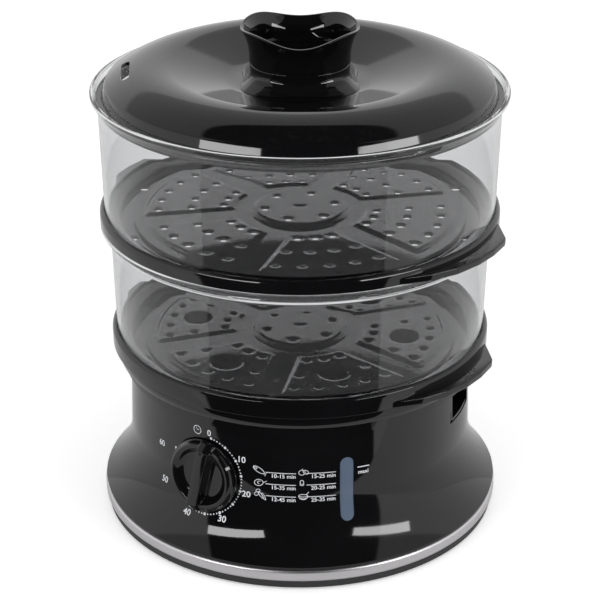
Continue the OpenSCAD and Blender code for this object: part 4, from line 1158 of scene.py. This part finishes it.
def draw_foods(draw):
    """One small drawing for each cell of the table."""
    # whole fish, from its nose at the upper left
    draw.at(-102.9, 71.3)
    draw.loop(2.7, 1.05, -0.3, 0.5, -0.55)
    draw.strip((1.8, -0.9), (2.9, -0.7), (2.3, -2.1), (1.8, -0.9))
    draw.loop(0.7, 0.4, -1.7, 1.3, -0.5)
    # drumstick
    draw.at(-102.7, 63.4)
    draw.loop(1.9, 1.45, -0.6, 0.0, 0.25)
    draw.loop(0.8, 0.6, -0.3, 0.1, 0.3, 0.1, 0.7)
    draw.strip((1.2, 0.2), (2.4, 0.7), (2.7, 1.1))
    # bundle of vegetables
    draw.at(-102.7, 55.6)
    draw.loop(0.9, 0.7, -0.9, 1.5, 0.4)
    draw.loop(1.1, 0.75, -1.5, 0.0, 0.8)
    draw.loop(1.9, 0.5, 0.3, -0.5, -0.95)
    draw.loop(1.7, 0.42, 1.5, -1.0, -1.1)
    # two pieces of fruit
    draw.at(-89.0, 72.0)
    draw.loop(1.35, 1.15, -0.5, -0.2, 0.2)
    draw.loop(1.15, 0.85, 1.1, 0.0, -0.5)
    draw.strip((-0.5, 0.9), (-0.2, 1.6))
    # egg in its cup
    draw.at(-89.4, 64.6)
    draw.loop(0.75, 1.0, 0.0, 0.3)
    draw.strip((-0.8, -0.4), (-0.7, -1.1), (0.7, -1.1), (0.8, -0.4))
    # bowl with a spoon
    draw.at(-88.9, 55.0)
    draw.loop(1.9, 0.6, -0.1, 0.6)
    draw.loop(1.9, 1.7, -0.1, 0.5, 0.0, 0.5, 1.0)
    draw.loop(1.1, 0.6, -0.1, -0.3, 0.0, 0.5, 1.0)
    draw.strip((1.1, 1.0), (2.2, 2.4))


def make_table(lift):
    """Cooking times in two columns, each over a line, with a drawing, and the maxi level."""
    sheet = Sheet(lift)
    rows = ((70.9, "10-15 min", "15-25 min"), (63.0, "15-35 min", "20-25 min"),
            (54.9, "12-45 min", "25-35 min"))
    for z, left, right in rows:
        for a0, a1, text, up in ((-100.9, -91.3, left, 0.0), (-87.9, -78.6, right, 0.25)):
            half = math.radians(a1 - a0) / 2 * BODY_R
            sheet.strip([(half * k / 2, 0) for k in range(-2, 3)], 0.42, (a0 + a1) / 2, z + up)
            sheet.words(text, 3.7, a1, z + up - 2.2, align="RIGHT", bold=0.05)
    draw_foods(Icons(sheet, 1.45, 0.36))
    half = math.radians(2.0) * BODY_R
    sheet.strip([(-half, 0), (0, 0), (half, 0)], 0.6, MAXI_AZ, MAXI_Z)
    sheet.words("maxi", 3.6, MAXI_AZ, MAXI_Z - 3.5, bold=0.06)
    return sheet.build("cooking_table_print")


# ---------------------------------------------------------------- operators

def need(condition, message):
    if not condition:
        raise RuntimeError(message)


def slot_of(node):
    """The material slot that the record gives a node."""
    for part in frame["record"]["subparts"]:
        if part["node"] == node:
            return part["material_slot"]
    raise RuntimeError("the record has no node " + node)


def smooth_nodes(body, *nodes):
    """Stand smooth-shaded copies in for CAD nodes."""
    for node in nodes:
        slot = slot_of(node)
        fit(cad_copy(node, node + "_moulding", 32), finish_for(slot), body, slot, node)


class STEAMER_OT_lid(bpy.types.Operator):
    """Builds the domed lid with its steam vent"""
    bl_idname = "steamer.lid"
    bl_label = "Lid"

    def execute(self, context):
        lid = make_lid(context.scene.steamer_sizes.turn_steps)
        need(len(lid.data.polygons) > 1000, "the lid's vent cut failed")
        fit(lid, finish_for("black_gloss"), "lid", "black_gloss", "lid_dome")
        return {"FINISHED"}


class STEAMER_OT_handle(bpy.types.Operator):
    """Builds the lid's handle: its foot and its wavy cup"""
    bl_idname = "steamer.handle"
    bl_label = "Lid handle"

    def execute(self, context):
        fit(make_handle_base(), finish_for("black_gloss"), "lid", "black_gloss", "lid_handle_base")
        fit(make_handle_cup(), finish_for("black_gloss"), "lid", "black_gloss", "lid_handle_cup")
        return {"FINISHED"}


class STEAMER_OT_rings(bpy.types.Operator):
    """Builds the black base rings of both bowls, with their ears and drain holes"""
    bl_idname = "steamer.rings"
    bl_label = "Bowl rings"

    def execute(self, context):
        sizes = context.scene.steamer_sizes
        for which, bowl in (("upper", UPPER), ("lower", LOWER)):
            ring, ears = make_bowl_ring(which + "_bowl_ring", bowl, sizes.turn_steps,
                                        sizes.edge_round / MM)
            for piece in (ring, ears):
                fit(piece, finish_for("black_gloss"), which + "_bowl", "black_gloss",
                    which + "_bowl_base")
        return {"FINISHED"}


class STEAMER_OT_walls(bpy.types.Operator):
    """Builds the clear walls of both bowls"""
    bl_idname = "steamer.walls"
    bl_label = "Clear walls"

    def execute(self, context):
        for which, bowl in (("upper", UPPER), ("lower", LOWER)):
            wall = make_bowl_wall(which + "_clear_wall", bowl, context.scene.steamer_sizes.turn_steps)
            fit(wall, finish_for("clear_bowl"), which + "_bowl", "clear_bowl", which + "_bowl_wall")
        return {"FINISHED"}


class STEAMER_OT_grids(bpy.types.Operator):
    """Builds the two pressed grids that hold the food"""
    bl_idname = "steamer.grids"
    bl_label = "Grids"

    def execute(self, context):
        step = context.scene.steamer_sizes.grid_mesh / MM
        for which, bowl, az, eggs in (("upper", UPPER, UPPER_GRID_AZ, False),
                                      ("lower", LOWER, LOWER_GRID_AZ, True)):
            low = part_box(which + "_grid")[0]
            grid = make_grid(which + "_grid_sheet", bowl["ring"] - GRID_IN, low[2] / MM, az, eggs,
                             step)
            need(len(grid.data.polygons) > 5000, "a grid came out empty")
            fit(grid, finish_for("black_gloss"), which + "_grid", "black_gloss", which + "_grid")
        return {"FINISHED"}


class STEAMER_OT_collector(bpy.types.Operator):
    """Smooths the juice collector, its chimney and the turbo ring"""
    bl_idname = "steamer.collector"
    bl_label = "Juice collector"

    def execute(self, context):
        smooth_nodes("juice_collector", "juice_collector", "collector_wall", "collector_floor",
                     "collector_chimney")
        smooth_nodes("turbo_ring", "turbo_ring")
        return {"FINISHED"}


class STEAMER_OT_base(bpy.types.Operator):
    """Smooths the base's housing, tank, filler mouth and foot plate"""
    bl_idname = "steamer.base"
    bl_label = "Base"

    def execute(self, context):
        shell = cad_copy("base_housing", "housing_shell", 30, body_slope)
        fit(shell, finish_for("black_gloss"), "base", "black_gloss", "base_housing")
        smooth_nodes("base", "water_tank", "tank_deck", "water_filler", "bottom_plate",
                     "rubber_feet", "cord_gland")
        return {"FINISHED"}


class STEAMER_OT_trim(bpy.types.Operator):
    """Builds the silver band round the foot"""
    bl_idname = "steamer.trim"
    bl_label = "Trim band"

    def execute(self, context):
        trim = make_trim(context.scene.steamer_sizes.turn_steps)
        fit(trim, finish_for("silver_trim"), "base", "silver_trim", "trim_ring")
        return {"FINISHED"}


class STEAMER_OT_knob(bpy.types.Operator):
    """Builds the timer's knob with its grip bar"""
    bl_idname = "steamer.knob"
    bl_label = "Timer knob"

    def execute(self, context):
        fit(make_knob(), finish_for("black_gloss"), "timer_knob", "black_gloss", "timer_knob")
        return {"FINISHED"}


class STEAMER_OT_window(bpy.types.Operator):
    """Finishes the water level window"""
    bl_idname = "steamer.window"
    bl_label = "Level window"

    def execute(self, context):
        pane = cad_copy("level_window", "level_pane", 32)
        fit(pane, finish_for("window_tint"), "base", "window_tint", "level_window")
        return {"FINISHED"}


class STEAMER_OT_prints(bpy.types.Operator):
    """Lays the dial's marks and the cooking table on the housing"""
    bl_idname = "steamer.prints"
    bl_label = "Prints"

    def execute(self, context):
        sizes = context.scene.steamer_sizes
        for sheet in (make_dial(sizes.print_lift / MM, sizes.dot_size / MM),
                      make_table(sizes.print_lift / MM)):
            fit(sheet, finish_for("print"), "base", "black_gloss")
        return {"FINISHED"}


class STEAMER_OT_insides(bpy.types.Operator):
    """Gives every CAD node that keeps its shape its finish"""
    bl_idname = "steamer.insides"
    bl_label = "Inside parts"

    def execute(self, context):
        for node, obj in frame["nodes"].items():
            finish = finish_for(slot_of(node))
            if not obj.material_slots:
                obj.data.materials.append(finish)
            for place in obj.material_slots:
                place.material = finish
        return {"FINISHED"}


class STEAMER_OT_studio(bpy.types.Operator):
    """Sets up the floor, the room's light, the softboxes and the camera"""
    bl_idname = "steamer.studio"
    bl_label = "Studio"

    def execute(self, context):
        make_floor()
        make_room(context.scene.steamer_studio)
        make_softboxes(context.scene.steamer_studio)
        make_camera(context.scene.steamer_studio)
        return {"FINISHED"}


# ---------------------------------------------------------------- studio

def make_floor():
    """A pale floor that keeps the steamer's shadow and is white to the camera."""
    verts = [(-FLOOR_SIDE, FLOOR_FRONT, 0), (FLOOR_SIDE, FLOOR_FRONT, 0),
             (FLOOR_SIDE, FLOOR_BACK, 0), (-FLOOR_SIDE, FLOOR_BACK, 0)]
    floor = put("floor", verts, [(0, 1, 2, 3)], fix=False)
    finish, tree, bsdf = shader("pale_floor")
    path = tree.nodes.new("ShaderNodeLightPath")
    tone = blend_colours(tree, path.outputs["Is Camera Ray"], (0.88, 0.88, 0.88), (1.0, 1.0, 1.0))
    tree.links.new(tone, bsdf.inputs["Base Color"])
    bsdf.inputs["Roughness"].default_value = 0.9
    bsdf.inputs["Specular IOR Level"].default_value = 0.0
    bsdf.inputs["Emission Color"].default_value = (1, 1, 1, 1)
    lift = math_node(tree, "MULTIPLY", path.outputs["Is Camera Ray"], 0.30)
    tree.links.new(lift, bsdf.inputs["Emission Strength"])
    floor.data.materials.append(finish)


def make_room(studio):
    """White behind the steamer; gloss sees a dark gap round the camera and overhead."""
    world = bpy.data.worlds.new("room")
    bpy.context.scene.world = world
    world.use_nodes = True
    tree = world.node_tree
    back = tree.nodes["Background"]
    path = tree.nodes.new("ShaderNodeLightPath")
    axes = split_node(tree, place_node(tree, "Generated"))
    around = math_node(tree, "ARCTAN2", axes["Y"], axes["X"])
    away = math_node(tree, "SUBTRACT", around, math.radians(GAP_AZ))
    sides = span_node(tree, math_node(tree, "ABSOLUTE", away), *(math.radians(v) for v in GAP_HALF))

    def falling(levels, left):
        """1 below the first elevation, and what is left above the second."""
        return span_node(tree, axes["Z"], *(math.sin(math.radians(v)) for v in levels), 1.0, left)

    low = math_node(tree, "MULTIPLY", falling(DIMMER_ABOVE, DIMMER), falling(DARK_ABOVE, 0.0))
    seen = math_node(tree, "MULTIPLY", sides, low)
    gloss = math_node(tree, "ADD", math_node(tree, "MULTIPLY", seen, BRIGHT_LEVEL), DARK_LEVEL)
    even = math_node(tree, "MULTIPLY",
                     math_node(tree, "SUBTRACT", 1.0, path.outputs["Is Glossy Ray"]),
                     studio.room_light)
    other = math_node(tree, "ADD", even,
                      math_node(tree, "MULTIPLY", gloss, path.outputs["Is Glossy Ray"]))
    plain = math_node(tree, "MAXIMUM", path.outputs["Is Camera Ray"],
                      path.outputs["Is Transmission Ray"])
    level = math_node(tree, "MAXIMUM", other, plain)
    tree.links.new(level, back.inputs["Strength"])
    back.inputs["Color"].default_value = (1, 1, 1, 1)


def make_softboxes(studio):
    """Two wide low softboxes, whose mirror images are the bright bands on the skirt and lid."""
    for name, az, el, wide, tall in SOFTBOXES:
        light = bpy.data.lights.new(name, "AREA")
        light.shape = "RECTANGLE"
        light.size, light.size_y = wide, tall
        light.energy = studio.softbox_power * (wide * tall) / POWER_AREA
        obj = bpy.data.objects.new(name, light)
        bpy.context.scene.collection.objects.link(obj)
        a, e = math.radians(az), math.radians(el)
        out = Vector((math.cos(e) * math.cos(a), math.cos(e) * math.sin(a), math.sin(e)))
        obj.location = out * studio.softbox_away + Vector((0, 0, SOFTBOX_AIM_Z))
        obj.rotation_euler = out.to_track_quat("Z", "Y").to_euler()


def make_camera(studio):
    camera = bpy.data.cameras.new("camera")
    camera.sensor_width = 36.0
    camera.lens = studio.lens
    camera.clip_end = 20.0
    obj = bpy.data.objects.new("camera", camera)
    bpy.context.scene.collection.objects.link(obj)
    obj.location = CAMERA_AT
    obj.rotation_euler = (math.radians(CAMERA_TILT), 0.0, 0.0)
    bpy.context.scene.camera = obj


# ---------------------------------------------------------------- add-on

PIECES = (STEAMER_OT_lid, STEAMER_OT_handle, STEAMER_OT_rings, STEAMER_OT_walls,
          STEAMER_OT_grids, STEAMER_OT_collector, STEAMER_OT_base, STEAMER_OT_trim,
          STEAMER_OT_knob, STEAMER_OT_window, STEAMER_OT_prints, STEAMER_OT_insides,
          STEAMER_OT_studio)


class STEAMER_PT_panel(bpy.types.Panel):
    bl_idname = "STEAMER_PT_panel"
    bl_label = "Food Steamer"
    bl_space_type = "VIEW_3D"
    bl_region_type = "UI"
    bl_category = "Steamer"

    def draw(self, context):
        for settings in (context.scene.steamer_sizes, context.scene.steamer_finish,
                         context.scene.steamer_studio):
            box = self.layout.box()
            for name in settings.bl_rna.properties.keys():
                if name not in ("rna_type", "name"):
                    box.prop(settings, name)
        for piece in PIECES:
            self.layout.operator(piece.bl_idname)


CLASSES = (SteamerSizes, SteamerFinish, SteamerStudio) + PIECES + (STEAMER_PT_panel,)


def register():
    for cls in CLASSES:
        bpy.utils.register_class(cls)
    bpy.types.Scene.steamer_sizes = bpy.props.PointerProperty(type=SteamerSizes)
    bpy.types.Scene.steamer_finish = bpy.props.PointerProperty(type=SteamerFinish)
    bpy.types.Scene.steamer_studio = bpy.props.PointerProperty(type=SteamerStudio)


def unregister():
    del bpy.types.Scene.steamer_studio
    del bpy.types.Scene.steamer_finish
    del bpy.types.Scene.steamer_sizes
    for cls in reversed(CLASSES):
        bpy.utils.unregister_class(cls)


def main():
    register()
    bpy.context.scene.view_settings.view_transform = "Standard"
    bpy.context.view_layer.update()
    bpy.ops.steamer.studio()
    bpy.ops.steamer.insides()
    bpy.ops.steamer.lid()
    bpy.ops.steamer.handle()
    bpy.ops.steamer.rings()
    bpy.ops.steamer.walls()
    bpy.ops.steamer.grids()
    bpy.ops.steamer.collector()
    bpy.ops.steamer.base()
    bpy.ops.steamer.trim()
    bpy.ops.steamer.knob()
    bpy.ops.steamer.window()
    bpy.ops.steamer.prints()


if __name__ == "__main__":
    main()
